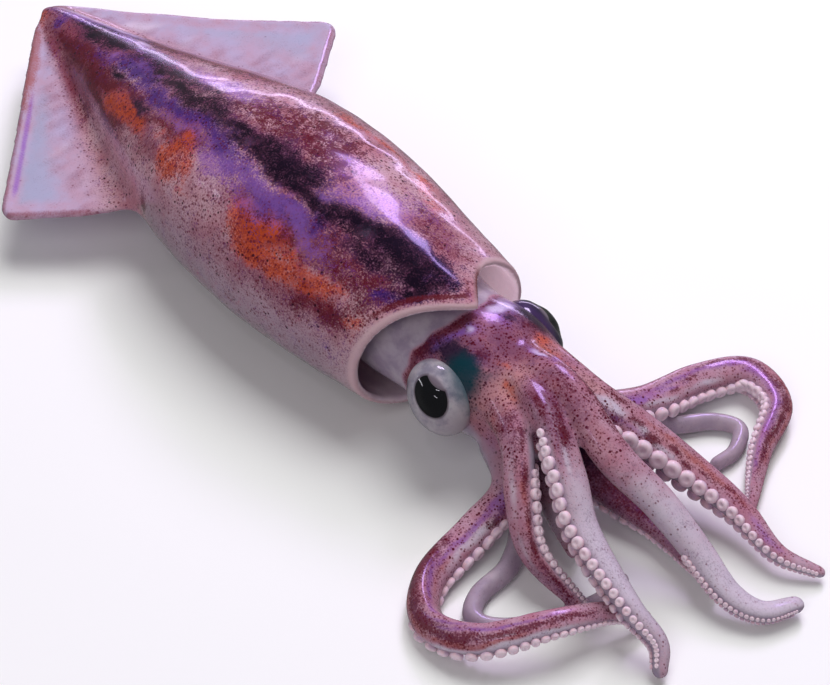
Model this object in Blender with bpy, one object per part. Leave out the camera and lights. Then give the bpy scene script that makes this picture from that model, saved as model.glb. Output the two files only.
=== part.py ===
# A whole raw squid lying on its belly: the hollow mantle with its two fins, the head with eight arms and
# two tentacles, and the two eyes. The origin is on the flat spot that the belly rests on, in line with the
# tail and the middle of the mantle's mouth. +X runs from the tail to the arms, +Y to the squid's own left,
# +Z up. Sizes are in millimetres, and each mesh is scaled to metres as it is made.

import math
from collections import namedtuple

import bpy
import numpy as np
from mathutils import Matrix, Vector

MM = 0.001
GAP = 0.35  # clearance between touching pieces

# Mantle: rows of x, half width, half height, middle y and middle z, from the tail to the front edge.
MANTLE_ROWS = (
    (-123, 2.2, 2.2, 0, 22.0),
    (-112, 6.0, 5.0, 0, 22.5),
    (-90, 12.0, 9.5, 0, 23.0),
    (-52, 23.0, 19.0, -1, 24.5),
    (-22, 31.0, 27.0, -2, 27.0),
    (5, 35.0, 31.0, -2, 29.5),
    (38, 35.0, 31.0, -1.5, 29.5),
    (80, 29.5, 24.5, 0, 27.5),
)
MANTLE_RINGS = 22
MANTLE_SIDES = 32
WALL = 2.4
CAVITY_DEPTH = 46
CAVITY_RINGS = 7
RIM_STEPS = 4
LIP_LENGTH = 19  # the tongue of the front edge, over the nape
LIP_DROP = 1
LIP_SPREAD = math.radians(27)
LIP_SOFTNESS = 1.35  # 1 is a sharp tip, 2 a round one
MOUTH_SKEW = 0.10  # the front edge is cut a little forward on the left side
MOUTH_BLEND = 64  # how far back the rings lean with the front edge

# Fins: each a rounded triangle from the tail to its outer corner, thin at the edge, with 1 for the left
# fin and -1 for the right one.
FIN_REACHES = {1: 67.0, -1: 65.5}  # from the midline to where the straight edges would meet
FIN_CORNER_HEIGHTS = {1: 26, -1: 18}
FIN_MID_X = -59.5  # middle of the chord at the midline
FIN_SWEEP = 0.16  # how far the middle of the chord moves forward with the span
FIN_CORNER_RADIUS = 6
FIN_THICKNESS = 4.6
FIN_EDGE_THICKNESS = 2.4
FIN_ROOT_DROP = 4  # below the mantle's middle, reached over the first stretch from the tail
FIN_ROOT_STRETCH = 60
FIN_START = 2  # inside the mantle
FIN_DROOP = 1.3  # 1 is a straight slope to the corner
FIN_STATIONS = 8  # up to the corner's arc
FIN_ARC_STATIONS = (2.6, 1.2, 0.4, 0.02)  # short of the corner's end
FIN_CHORD_POINTS = 11

# Head: rows of x, half width, half height, middle y and middle z, from the neck to the arm crown.
HEAD_ROWS = (
    (48, 10.0, 8.0, 0, 27.0),
    (54, 19.0, 15.5, 0, 27.0),
    (70, 21.5, 17.0, 0, 27.5),
    (86, 19.5, 17.5, 1.0, 27.0),
    (99, 20.5, 18.5, 2.5, 26.0),
    (110, 18.5, 16.5, 3.5, 25.0),
    (122, 15.5, 13.5, 4, 24.0),
    (130, 8.0, 8.0, 4, 23.0),
)
HEAD_RINGS = 14
HEAD_SIDES = 24

# Funnel: the short spout under the head.
FUNNEL_ROUTE = ((64, 0, 13.5), (80, 0, 12.5), (95, 0, 9.5))
FUNNEL_RADII = (7.0, 4.8)
FUNNEL_FLATNESS = 1.15
FUNNEL_BORE = 3.2
FUNNEL_BORE_DEPTH = 7
FUNNEL_RINGS = 8
FUNNEL_SIDES = 16

# Eyes: flattened balls, each looking along its own direction.
EYE_RADII = (11.3, 8.9, 8.0)  # long way, across, depth
EYE_SEGMENTS = 18
EYE_RINGS = 10
Eye = namedtuple("Eye", "name centre looks long_way")
EYES = (
    Eye("eye_right", centre=(101.2, -16.7, 29), looks=(0.36, -0.74, 0.57), long_way=(-0.78, 0.06, 0.62)),
    Eye("eye_left", centre=(98.5, 19.5, 27), looks=(0.25, 0.88, 0.40), long_way=(-0.80, 0.05, 0.60)),
)

# Limbs: the route from root to tip, radii at root and tip, how late they thin out, the way the sucker
# side faces at root and tip, and the suckers in each of its two rows.
Limb = namedtuple("Limb", "route radii lateness oral_root oral_tip suckers")
LIMBS = {
    "arm_right_loop": Limb(
        route=(
            (112, -8, 22), (127, -13, 12), (130, -29, 7), (134, -49, 5.5), (146, -58, 6.5),
            (160, -53, 9), (170, -36, 12), (175, -21, 9), (180, -12, 4),
        ),
        radii=(4.8, 2.0),
        lateness=3.0,
        oral_root=(0.3, 0, -1),
        oral_tip=(0.3, -0.3, -1),
        suckers=16,
    ),
    "arm_right_inner": Limb(
        route=((112, -6, 32), (128, -12, 30), (139, -20, 22), (150, -25, 13), (168, -22, 3.5)),
        radii=(4.8, 1.8),
        lateness=2.0,
        oral_root=(0, 0.9, -0.3),
        oral_tip=(0.2, 0.7, -0.6),
        suckers=12,
    ),
    "arm_middle": Limb(
        route=(
            (112, 0, 36), (130, -4, 37), (146, -10, 30), (158, -15, 22), (179, -18, 14), (191, -18, 8),
            (197, -23.5, 4),
        ),
        radii=(4.6, 2.1),
        lateness=3.0,
        oral_root=(-0.1, -0.85, -0.2),
        oral_tip=(-0.7, -0.5, 0.3),
        suckers=14,
    ),
    "arm_top": Limb(
        route=(
            (110, 5, 37), (128, 5, 38.5), (149, 3, 31), (163, 7, 22), (177, 9, 13), (190, 9, 7),
            (199, 13, 4.5), (203, 22, 4),
        ),
        radii=(5.2, 2.3),
        lateness=2.5,
        oral_root=(0, -0.5, -1),
        oral_tip=(0.5, -0.5, -0.8),
        suckers=16,
    ),
    "arm_left_outer": Limb(
        route=(
            (110, 11, 32), (129, 14, 28.5), (142, 22, 20), (156, 28, 13), (172, 31, 9), (188, 30, 6),
            (201, 36, 3),
        ),
        radii=(6.8, 1.5),
        lateness=1.5,
        oral_root=(0.1, -0.9, -0.4),
        oral_tip=(0.3, -0.8, -0.5),
        suckers=15,
    ),
    "arm_left_loop": Limb(
        route=(
            (108, 13, 24), (121, 20, 16), (128, 37, 10.5), (129, 58, 6.5), (136, 72, 6), (150, 70, 5.5),
            (159, 54, 5), (171, 38, 3.5),
        ),
        radii=(5.2, 1.5),
        lateness=3.0,
        oral_root=(0.3, 0, -1),
        oral_tip=(0, 0, -1),
        suckers=16,
    ),
    "arm_low_left": Limb(
        route=((110, 9, 19), (127, 7, 14.5), (144, 9, 9), (162, 12, 6.5), (182, 11, 4)),
        radii=(5.6, 2.2),
        lateness=2.0,
        oral_root=(0, -0.3, -1),
        oral_tip=(0, -0.3, -1),
        suckers=10,
    ),
    "arm_low_right": Limb(
        route=((110, 1, 15), (126, -2, 9), (138, -6, 6), (151, -11, 4)),
        radii=(4.6, 1.8),
        lateness=2.0,
        oral_root=(0, 0, -1),
        oral_tip=(0, 0, -1),
        suckers=6,
    ),
    "tentacle_left": Limb(
        route=(
            (110, 17, 20), (124, 30, 10), (134, 42, 4), (141, 53, 3.2), (148, 57, 3), (153, 50, 3),
            (153, 43, 2.6),
        ),
        radii=(3.6, 2.1),
        lateness=1.0,
        oral_root=(0, 0, -1),
        oral_tip=(0, 0, -1),
        suckers=0,
    ),
    "tentacle_right": Limb(
        route=(
            (112, -8, 14), (133, -15, 6.5), (143, -27, 4), (145, -40, 3), (150, -46, 2.6),
            (157, -42, 2.4), (164, -29, 2.4), (167, -15, 2.4), (166, -7, 2.4),
        ),
        radii=(3.6, 2.1),
        lateness=1.0,
        oral_root=(0, 0, -1),
        oral_tip=(0, 0, -1),
        suckers=0,
    ),
}
LIMB_SIDES = 8
LIMB_KEEL = 0.10  # how far the section leans towards a rounded triangle
SUCKER_ANGLE = math.radians(135)  # of each sucker row, from the keel
SUCKER_BULGE = 0.26  # share of the limb's radius
SUCKER_SPREAD = 0.42  # radians
PLAIN_RINGS = 18  # of a limb without suckers
TIP_RINGS = 3

MATERIALS = {
    "mantle": ((0.34, 0.16, 0.21, 1), 0.22),
    "head": ((0.52, 0.27, 0.30, 1), 0.25),
    "eye": ((0.56, 0.54, 0.58, 1), 0.12),
}


def curve_through(points, count):
    """Return count points, evenly spaced along a smooth curve through the given ones."""
    points = np.array(points, float)
    knots = np.vstack([2 * points[0] - points[1], points, 2 * points[-1] - points[-2]])
    fine = []
    for a, b, c, d in zip(knots, knots[1:], knots[2:], knots[3:]):
        for t in np.linspace(0, 1, 20, endpoint=False):
            cubic = (3 * b - a - 3 * c + d) * t**3 + (2 * a - 5 * b + 4 * c - d) * t**2 + (c - a) * t
            fine.append(b + cubic / 2)
    fine = np.array(fine + [points[-1]])
    steps = np.linalg.norm(np.diff(fine, axis=0), axis=1)
    along = np.concatenate([[0], np.cumsum(steps)])
    wanted = np.linspace(0, along[-1], count)
    return np.stack([np.interp(wanted, along, column) for column in fine.T], axis=1)


def smooth_step(share):
    share = np.clip(share, 0, 1)
    return share * share * (3 - 2 * share)


def unit(vector):
    vector = np.array(vector, float)
    return vector / np.linalg.norm(vector)


def loft(name, rings, collection):
    """Join equal rings of points into one closed skin, with a point or a flat fan closing each end."""
    sides = len(rings[0])
    verts = [tuple(point) for ring in rings for point in ring]
    faces = []
    for row in range(len(rings) - 1):
        for side in range(sides):
            after = (side + 1) % sides
            low = row * sides
            high = low + sides
            faces.append((low + side, low + after, high + after, high + side))
    for row, turned in ((0, True), (len(rings) - 1, False)):
        hub = len(verts)
        verts.append(tuple(np.mean(rings[row], axis=0)))
        for side in range(sides):
            rim = (row * sides + side, row * sides + (side + 1) % sides)
            faces.append((rim[1], rim[0], hub) if turned else (rim[0], rim[1], hub))
    mesh = bpy.data.meshes.new(name)
    mesh.from_pydata([Vector(vert) * MM for vert in verts], [], faces)
    mesh.shade_smooth()
    piece = bpy.data.objects.new(name, mesh)
    collection.objects.link(piece)
    return piece


def add_material(piece, kind):
    color, roughness = MATERIALS[kind]
    material = bpy.data.materials.get(kind) or bpy.data.materials.new(kind)
    material.use_nodes = True
    shader = material.node_tree.nodes["Principled BSDF"]
    shader.inputs["Base Color"].default_value = color
    shader.inputs["Roughness"].default_value = roughness
    shader.inputs["Metallic"].default_value = 0
    piece.data.materials.append(material)


def combine(piece, tool, operation):
    tool.hide_render = True
    tool.display_type = "WIRE"
    boolean = piece.modifiers.new(f"{operation.lower()} {tool.name}", "BOOLEAN")
    boolean.operation = operation
    boolean.solver = "EXACT"
    boolean.object = tool


def ellipse_ring(row, sides):
    """A row's ellipse, from the top round by the left, kept above the surface that the squid lies on."""
    x, half_width, half_height, middle_y, middle_z = row
    angles = np.linspace(0, 2 * math.pi, sides, endpoint=False)
    y = middle_y + half_width * np.sin(angles)
    z = middle_z + half_height * np.cos(angles)
    return np.stack([np.full_like(y, x), y, np.maximum(z, 0)], axis=1)


def mantle_ring(row, inset=0, ahead=0):
    """A ring of the mantle, smaller by inset and moved ahead, leaning with the front edge near it."""
    x, half_width, half_height, middle_y, middle_z = row
    ring = ellipse_ring((x, half_width - inset, half_height - inset, middle_y, middle_z), MANTLE_SIDES)
    angles = np.linspace(0, 2 * math.pi, MANTLE_SIDES, endpoint=False)
    from_top = np.minimum(angles, 2 * math.pi - angles)
    lip = np.exp(-((from_top / LIP_SPREAD) ** LIP_SOFTNESS))
    lean = smooth_step(1 - (MANTLE_ROWS[-1][0] - x) / MOUTH_BLEND)
    ring[:, 0] += ahead + lean * (LIP_LENGTH * lip + MOUTH_SKEW * ring[:, 1])
    ring[:, 2] -= lean * LIP_DROP * lip
    return ring


def build_mantle(parts, tools):
    rows = curve_through(MANTLE_ROWS, MANTLE_RINGS)
    rings = [mantle_ring(row) for row in rows]
    for step in range(1, RIM_STEPS):
        turn = math.pi * step / RIM_STEPS
        rings.append(mantle_ring(rows[-1], WALL / 2 * (1 - math.cos(turn)), WALL / 2 * math.sin(turn)))
    for share in np.linspace(0, 1, CAVITY_RINGS):
        x = rows[-1][0] - CAVITY_DEPTH * math.sin(share * math.pi / 2)
        row = [np.interp(x, rows[:, 0], column) for column in rows.T]
        closing = math.sqrt(max(1 - share**3, 0.02))
        row[1] = (row[1] - WALL) * closing
        row[2] = (row[2] - WALL) * closing
        rings.append(mantle_ring(row))
    mantle = loft("mantle", rings[::-1], parts)
    for side in (1, -1):
        combine(mantle, build_fin(side, tools), "UNION")
    add_material(mantle, "mantle")


def build_fin(side, tools):
    """A fin from inside the mantle out to its corner: flat sections across the chord, in steps of span."""
    rows = curve_through(MANTLE_ROWS, MANTLE_RINGS)
    arc_middle = FIN_REACHES[side] - FIN_CORNER_RADIUS * math.sqrt(2)
    arc_start = arc_middle + FIN_CORNER_RADIUS / math.sqrt(2)
    end = arc_middle + FIN_CORNER_RADIUS
    spans = list(np.linspace(FIN_START, arc_middle, FIN_STATIONS))
    spans += [end - short for short in FIN_ARC_STATIONS]
    across = np.sin(np.linspace(-1, 1, FIN_CHORD_POINTS) * math.pi / 2)
    rings = []
    for span in spans:
        half_chord = FIN_REACHES[side] - span
        if span > arc_start:
            half_chord = math.sqrt(FIN_CORNER_RADIUS**2 - (span - arc_middle) ** 2)
        out = span / end
        thickness = FIN_THICKNESS + (FIN_EDGE_THICKNESS - FIN_THICKNESS) * smooth_step(out * 1.2)
        half_rise = thickness / 2 * np.sqrt(1 - across**6) * min(1, math.sqrt(half_chord / 3))
        x = FIN_MID_X + FIN_SWEEP * span + half_chord * across
        root_drop = FIN_ROOT_DROP * smooth_step((x - MANTLE_ROWS[0][0]) / FIN_ROOT_STRETCH)
        root = np.interp(x, rows[:, 0], rows[:, 4]) - root_drop
        z = root + (FIN_CORNER_HEIGHTS[side] - root) * out**FIN_DROOP
        y = np.full_like(x, side * span)
        top = np.stack([x, y, z + half_rise], axis=1)
        low = np.stack([x, y, z - half_rise], axis=1)
        rings.append(np.vstack([top, low[-2:0:-1]]))
    if side > 0:
        return loft("fin_left", rings, tools)
    return loft("fin_right", rings[::-1], tools)


def limb_rings(limb):
    """Sections of a limb: a rounded triangle with its keel away from the suckers, beaded along both rows."""
    rings_wanted = 2 * limb.suckers + 2 if limb.suckers else PLAIN_RINGS
    path = curve_through(limb.route, rings_wanted)
    tangents = np.gradient(path, axis=0)
    angles = np.linspace(0, 2 * math.pi, LIMB_SIDES, endpoint=False)
    rings = []
    for number, (centre, tangent) in enumerate(zip(path, tangents)):
        share = number / (rings_wanted - 1)
        root, tip = limb.radii
        radius = tip + (root - tip) * (1 - share**limb.lateness)
        tangent = unit(tangent)
        oral = np.array(limb.oral_root, float) * (1 - share) + np.array(limb.oral_tip, float) * share
        oral = unit(oral - tangent * np.dot(oral, tangent))
        across = np.cross(tangent, oral)
        bulge = np.zeros(LIMB_SIDES)
        if limb.suckers and 1 < number < rings_wanted - 1:
            for row in (1, -1):
                from_row = angles - math.pi + row * (math.pi - SUCKER_ANGLE)
                raised = (number + (row > 0)) % 2 - 0.2
                bulge += SUCKER_BULGE * raised * np.exp(-((from_row / SUCKER_SPREAD) ** 2))
        reach = radius * (1 + LIMB_KEEL * np.cos(3 * angles) + bulge)
        ring = centre - np.outer(reach * np.cos(angles), oral) + np.outer(reach * np.sin(angles), across)
        rings.append(ring)
    last = rings[-1]
    centre = path[-1]
    for step in range(1, TIP_RINGS + 1):
        turn = math.pi / 2 * step / (TIP_RINGS + 0.4)
        forward = unit(tangents[-1]) * limb.radii[1] * 1.1 * math.sin(turn)
        rings.append(centre + (last - centre) * math.cos(turn) + forward)
    for ring in rings:
        ring[:, 2] = np.maximum(ring[:, 2], 0)
    return rings


def eye_ball(name, eye, extra, collection):
    """A ball flattened along the way the eye looks, larger all round by extra."""
    bpy.ops.mesh.primitive_uv_sphere_add(segments=EYE_SEGMENTS, ring_count=EYE_RINGS, radius=MM)
    ball = bpy.context.object
    ball.name = name
    ball.data.name = name
    looks = unit(eye.looks)
    long_way = unit(np.array(eye.long_way) - looks * np.dot(eye.long_way, looks))
    across = np.cross(looks, long_way)
    turn = Matrix((long_way, across, looks)).transposed().to_4x4()
    size = Matrix.Diagonal([radius + extra for radius in EYE_RADII] + [1])
    ball.data.transform(turn @ size)
    ball.data.shade_smooth()
    ball.location = Vector(eye.centre) * MM
    for home in list(ball.users_collection):
        home.objects.unlink(ball)
    collection.objects.link(ball)
    return ball


def build_funnel(tools):
    """The spout, with a short blind bore at its front end."""
    path = curve_through(FUNNEL_ROUTE, FUNNEL_RINGS)
    sections = list(zip(path, np.linspace(*FUNNEL_RADII, FUNNEL_RINGS)))
    for depth in np.linspace(0, FUNNEL_BORE_DEPTH, 3):
        sections.append((path[-1] - (depth, 0, 0), FUNNEL_BORE))
    rings = []
    for (x, y, z), radius in sections:
        row = (x, radius * FUNNEL_FLATNESS, radius / FUNNEL_FLATNESS, y, z)
        rings.append(ellipse_ring(row, FUNNEL_SIDES))
    return loft("funnel", rings[::-1], tools)


def build_head(parts, tools):
    rings = [ellipse_ring(row, HEAD_SIDES) for row in curve_through(HEAD_ROWS, HEAD_RINGS)]
    head = loft("head", rings[::-1], parts)
    combine(head, build_funnel(tools), "UNION")
    for name, limb in LIMBS.items():
        combine(head, loft(name, limb_rings(limb)[::-1], tools), "UNION")
    for eye in EYES:
        combine(head, eye_ball(f"socket_{eye.name}", eye, GAP, tools), "DIFFERENCE")
    add_material(head, "head")


def new_collection(name):
    collection = bpy.data.collections.new(name)
    bpy.context.scene.collection.children.link(collection)
    return collection


def main():
    for thing in list(bpy.data.objects):
        bpy.data.objects.remove(thing, do_unlink=True)
    parts = new_collection("raw_squid")
    tools = new_collection("cutters")
    build_mantle(parts, tools)
    build_head(parts, tools)
    for eye in EYES:
        add_material(eye_ball(eye.name, eye, 0, parts), "eye")


main()
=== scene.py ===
import math

import bpy
import numpy as np
from mathutils import Matrix, Vector, kdtree


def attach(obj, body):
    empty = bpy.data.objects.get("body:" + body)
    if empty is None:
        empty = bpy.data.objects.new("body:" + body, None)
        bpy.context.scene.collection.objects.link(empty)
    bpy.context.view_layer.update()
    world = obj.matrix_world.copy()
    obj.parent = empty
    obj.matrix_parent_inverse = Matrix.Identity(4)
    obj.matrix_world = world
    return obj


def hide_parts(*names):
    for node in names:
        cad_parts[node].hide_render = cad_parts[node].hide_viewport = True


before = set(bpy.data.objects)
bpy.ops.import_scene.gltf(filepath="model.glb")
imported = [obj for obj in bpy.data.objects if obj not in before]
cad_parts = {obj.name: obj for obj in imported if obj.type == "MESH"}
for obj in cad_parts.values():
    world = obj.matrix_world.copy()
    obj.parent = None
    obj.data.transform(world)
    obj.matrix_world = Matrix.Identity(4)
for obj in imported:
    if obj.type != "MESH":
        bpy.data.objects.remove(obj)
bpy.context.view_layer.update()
mm = 0.001  # the shapes below are worked out in millimetres and made in metres

# The squid lies along X, tail at -X, back up. Angles run from the top of a section round to +Y, its left side.


# ---- small tools ----

def smoothStep(share):
    share = np.clip(share, 0, 1)
    return share * share * (3 - 2 * share)


def unit(vector):
    vector = np.array(vector, float)
    return vector / np.linalg.norm(vector)


def curveThrough(points, count):
    # count points, evenly spaced along a smooth curve through the given ones
    points = np.array(points, float)
    knots = np.vstack([2 * points[0] - points[1], points, 2 * points[-1] - points[-2]])
    fine = []
    for a, b, c, d in zip(knots, knots[1:], knots[2:], knots[3:]):
        for t in np.linspace(0, 1, 20, endpoint=False):
            cubic = (3 * b - a - 3 * c + d) * t**3 + (2 * a - 5 * b + 4 * c - d) * t**2 + (c - a) * t
            fine.append(b + cubic / 2)
    fine = np.array(fine + [points[-1]])
    steps = np.linalg.norm(np.diff(fine, axis=0), axis=1)
    along = np.concatenate([[0], np.cumsum(steps)])
    wanted = np.linspace(0, along[-1], count)
    return np.stack([np.interp(wanted, along, column) for column in fine.T], axis=1)


def softNoise(points, size, seed, waves=14):
    # a smooth random field of about -1 to 1, from plane waves in all directions, size in millimetres
    rng = np.random.default_rng(seed)
    total = np.zeros(len(points))
    for _ in range(waves):
        way = rng.normal(size=3)
        way *= 2 * math.pi / size * rng.uniform(0.6, 1.4) / np.linalg.norm(way)
        total += np.sin(points @ way + rng.uniform(0, 2 * math.pi))
    return total / math.sqrt(waves)


def loft(rings):
    # equal rings joined into a closed skin, each end closed by a fan round a middle point
    sides = len(rings[0])
    verts = np.vstack(rings + [np.mean(rings[0], axis=0), np.mean(rings[-1], axis=0)])
    faces = []
    for row in range(len(rings) - 1):
        for side in range(sides):
            after = (side + 1) % sides
            low = row * sides
            faces.append((low + side, low + sides + side, low + sides + after, low + after))
    last = (len(rings) - 1) * sides
    for side in range(sides):
        after = (side + 1) % sides
        faces.append((side, after, len(verts) - 2))
        faces.append((last + after, last + side, len(verts) - 1))
    return verts, faces


def newMesh(name, verts, faces):
    mesh = bpy.data.meshes.new(name)
    mesh.from_pydata((np.asarray(verts) * mm).tolist(), [], faces)
    mesh.shade_smooth()
    piece = bpy.data.objects.new(name, mesh)
    bpy.context.scene.collection.objects.link(piece)
    return piece


def joined(shapes):
    # several (verts, faces) as one
    verts, faces, start = [], [], 0
    for points, polygons in shapes:
        verts.append(points)
        faces += [tuple(corner + start for corner in polygon) for polygon in polygons]
        start += len(points)
    return np.vstack(verts), faces


def weldedSkin(name, shapes, voxel):
    # overlapping closed shapes grown together into one even skin of small squares
    piece = newMesh(name, *joined(shapes))
    remesh = piece.modifiers.new("one skin", "REMESH")
    remesh.mode = "VOXEL"
    remesh.voxel_size = voxel * mm
    shown = piece.evaluated_get(bpy.context.evaluated_depsgraph_get())
    mesh = bpy.data.meshes.new_from_object(shown)
    piece.modifiers.clear()
    old, piece.data = piece.data, mesh
    bpy.data.meshes.remove(old)
    mesh.name = name
    mesh.shade_smooth()
    return piece


def pointsOf(piece):
    found = np.empty(len(piece.data.vertices) * 3)
    piece.data.vertices.foreach_get("co", found)
    return found.reshape(-1, 3) / mm


def normalsOf(piece):
    found = np.empty(len(piece.data.vertices) * 3)
    piece.data.vertices.foreach_get("normal", found)
    return found.reshape(-1, 3)


def movePoints(piece, points):
    piece.data.vertices.foreach_set("co", (points * mm).ravel())
    piece.data.update()


def relax(piece, points, rounds, weight=1.0, keep=0.53):
    # smooths the points along the edges, pushing back a little each time so that thin edges stay
    edges = np.empty(len(piece.data.edges) * 2, int)
    piece.data.edges.foreach_get("vertices", edges)
    a, b = edges.reshape(-1, 2).T
    count = np.bincount(a, minlength=len(points)) + np.bincount(b, minlength=len(points))
    weight = np.broadcast_to(weight, len(points))[:, None]
    for _ in range(rounds):
        for step in (0.5, -keep):
            if step:
                middle = np.stack([
                    np.bincount(a, points[b, axis], len(points)) + np.bincount(b, points[a, axis], len(points))
                    for axis in range(3)
                ], axis=1) / count[:, None]
                points = points + step * weight * (middle - points)
    return points


def writeMask(piece, name, values):
    attribute = piece.data.attributes.new(name, "FLOAT", "POINT")
    attribute.data.foreach_set("value", np.asarray(values, np.float32))


def patchesAt(patches, along, angle):
    # soft spots melted together, each (along, angle, half length, half width, strength)
    bare = np.ones(len(along))
    for middle, turn, length, width, strength in patches:
        reach = ((along - middle) / length) ** 2 + ((angle - turn) / width) ** 2
        bare *= 1 - strength * np.exp(-reach)
    return 1 - bare


# ---- mantle with its fins ----

mantle = {
    # x, half width, half height, middle y, middle z
    "rows": (
        (-123, 2.2, 2.2, 0, 22.0),
        (-112, 6.0, 5.0, 0, 22.5),
        (-90, 12.0, 9.5, 0, 23.0),
        (-52, 23.0, 19.0, -1, 24.5),
        (-22, 31.0, 27.0, -2, 27.0),
        (5, 35.0, 31.0, -2, 29.5),
        (38, 35.0, 31.0, -1.5, 29.5),
        (80, 29.5, 24.5, 0, 27.5),
    ),
    "rings": 150,
    "sides": 140,
    "wall": 2.4,
    "cavityDepth": 46,
    "lipLength": 16,
    "lipDrop": 1,
    "lipSpreads": (math.radians(17), math.radians(29)),
    "lipSoftness": 1.35,
    "mouthSkew": 0.10,
    "mouthBlend": 64,
    "voxel": 0.83,
}
fins = {
    "reach": {1: 67.0, -1: 65.5},
    "cornerHeight": {1: 26, -1: 18},
    "middleX": -59.5,
    "sweep": 0.16,
    "cornerRadius": 6,
    "thickness": 4.6,
    "edgeThickness": 2.4,
    "rootDrop": 4,
    "rootStretch": 60,
    "droop": 1.3,
}
mantleRows = curveThrough(mantle["rows"], mantle["rings"])
mantleEnd = mantle["rows"][-1][0]


def mantleLean(x, angle):
    # how far forward and down a point of the front stretch leans
    fromTop = (angle + math.pi) % (2 * math.pi) - math.pi
    spread = np.where(fromTop > 0, *mantle["lipSpreads"])
    lip = np.exp(-((np.abs(fromTop) / spread) ** mantle["lipSoftness"]))
    return smoothStep(1 - (mantleEnd - x) / mantle["mouthBlend"]), lip


def mantleRing(row, inset=0, ahead=0):
    x, halfWidth, halfHeight, middleY, middleZ = row
    angles = np.linspace(0, 2 * math.pi, mantle["sides"], endpoint=False)
    y = middleY + (halfWidth - inset) * np.sin(angles)
    z = np.maximum(middleZ + (halfHeight - inset) * np.cos(angles), 0)
    lean, lip = mantleLean(x, angles)
    x = x + ahead + lean * (mantle["lipLength"] * lip + mantle["mouthSkew"] * y)
    return np.stack([x, y, z - lean * mantle["lipDrop"] * lip], axis=1)


def mantleShape():
    rings = [mantleRing(row) for row in mantleRows]
    wall = mantle["wall"]
    for turn in np.linspace(0, math.pi, 9)[1:-1]:
        rings.append(mantleRing(mantleRows[-1], wall / 2 * (1 - math.cos(turn)), wall / 2 * math.sin(turn)))
    for share in np.linspace(0, 1, 40):
        x = mantleEnd - mantle["cavityDepth"] * math.sin(share * math.pi / 2)
        row = [np.interp(x, mantleRows[:, 0], column) for column in mantleRows.T]
        closing = math.sqrt(max(1 - share**3, 0.02))
        row[1] = (row[1] - wall) * closing
        row[2] = (row[2] - wall) * closing
        rings.append(mantleRing(row))
    return loft(rings)


def finHeight(side, x, span):
    # the middle plane of a fin
    end = fins["reach"][side] - fins["cornerRadius"] * (math.sqrt(2) - 1)
    drop = fins["rootDrop"] * smoothStep((x - mantle["rows"][0][0]) / fins["rootStretch"])
    root = np.interp(x, mantleRows[:, 0], mantleRows[:, 4]) - drop
    return root + (fins["cornerHeight"][side] - root) * (np.maximum(span, 0) / end) ** fins["droop"]


def finShape(side):
    radius = fins["cornerRadius"]
    arcMiddle = fins["reach"][side] - radius * math.sqrt(2)
    arcStart = arcMiddle + radius / math.sqrt(2)
    end = arcMiddle + radius
    spans = list(np.linspace(2, arcStart, 60)) + list(end - np.linspace(1, 0.05, 10) ** 2 * (end - arcStart))
    across = np.sin(np.linspace(-1, 1, 61) * math.pi / 2)
    rings = []
    for span in spans:
        halfChord = fins["reach"][side] - span
        if span > arcStart:
            halfChord = math.sqrt(radius**2 - (span - arcMiddle) ** 2)
        out = span / end
        thickness = fins["thickness"] + (fins["edgeThickness"] - fins["thickness"]) * smoothStep(out * 1.2)
        halfRise = thickness / 2 * np.sqrt(1 - across**6) * min(1, math.sqrt(halfChord / 3))
        x = fins["middleX"] + fins["sweep"] * span + halfChord * across
        z = finHeight(side, x, span)
        y = np.full_like(x, side * span)
        top = np.stack([x, y, z + halfRise], axis=1)
        low = np.stack([x, y, z - halfRise], axis=1)
        rings.append(np.vstack([top, low[-2:0:-1]]))
    return loft(rings if side < 0 else rings[::-1])


def mantlePlace(points):
    # for each point: how far along the unleaned mantle it lies, its angle and its share of the section's size
    along = points[:, 0].copy()
    for _ in range(8):
        halfWidth, halfHeight, middleY, middleZ = (
            np.interp(along, mantleRows[:, 0], mantleRows[:, column]) for column in range(1, 5)
        )
        lean, lip = mantleLean(along, 0.0)
        angle = np.arctan2((points[:, 1] - middleY) / halfWidth, (points[:, 2] - middleZ) / halfHeight)
        lean, lip = mantleLean(along, angle)
        z = points[:, 2] + lean * mantle["lipDrop"] * lip
        shift = lean * (mantle["lipLength"] * lip + mantle["mouthSkew"] * points[:, 1])
        along = 0.4 * along + 0.6 * (points[:, 0] - shift)
    share = np.hypot((points[:, 1] - middleY) / halfWidth, (z - middleZ) / halfHeight)
    return along, angle, share, (middleY, middleZ, halfWidth, halfHeight, lean * mantle["lipDrop"] * lip)


def finPlace(points):
    # for each point: how far inside a fin's outline it lies, and its height over the fin's middle plane
    inside = np.full(len(points), -1e3)
    rise = np.full(len(points), 1e3)
    for side in (1, -1):
        span = side * points[:, 1]
        halfChord = fins["reach"][side] - span
        fromMiddle = np.abs(points[:, 0] - fins["middleX"] - fins["sweep"] * span)
        edge = np.where(span > 0, (halfChord - fromMiddle) / math.sqrt(2), -1e3)
        higher = points[:, 2] - finHeight(side, points[:, 0], span)
        better = edge > inside
        inside = np.where(better, edge, inside)
        rise = np.where(better, higher, rise)
    return inside, rise


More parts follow.
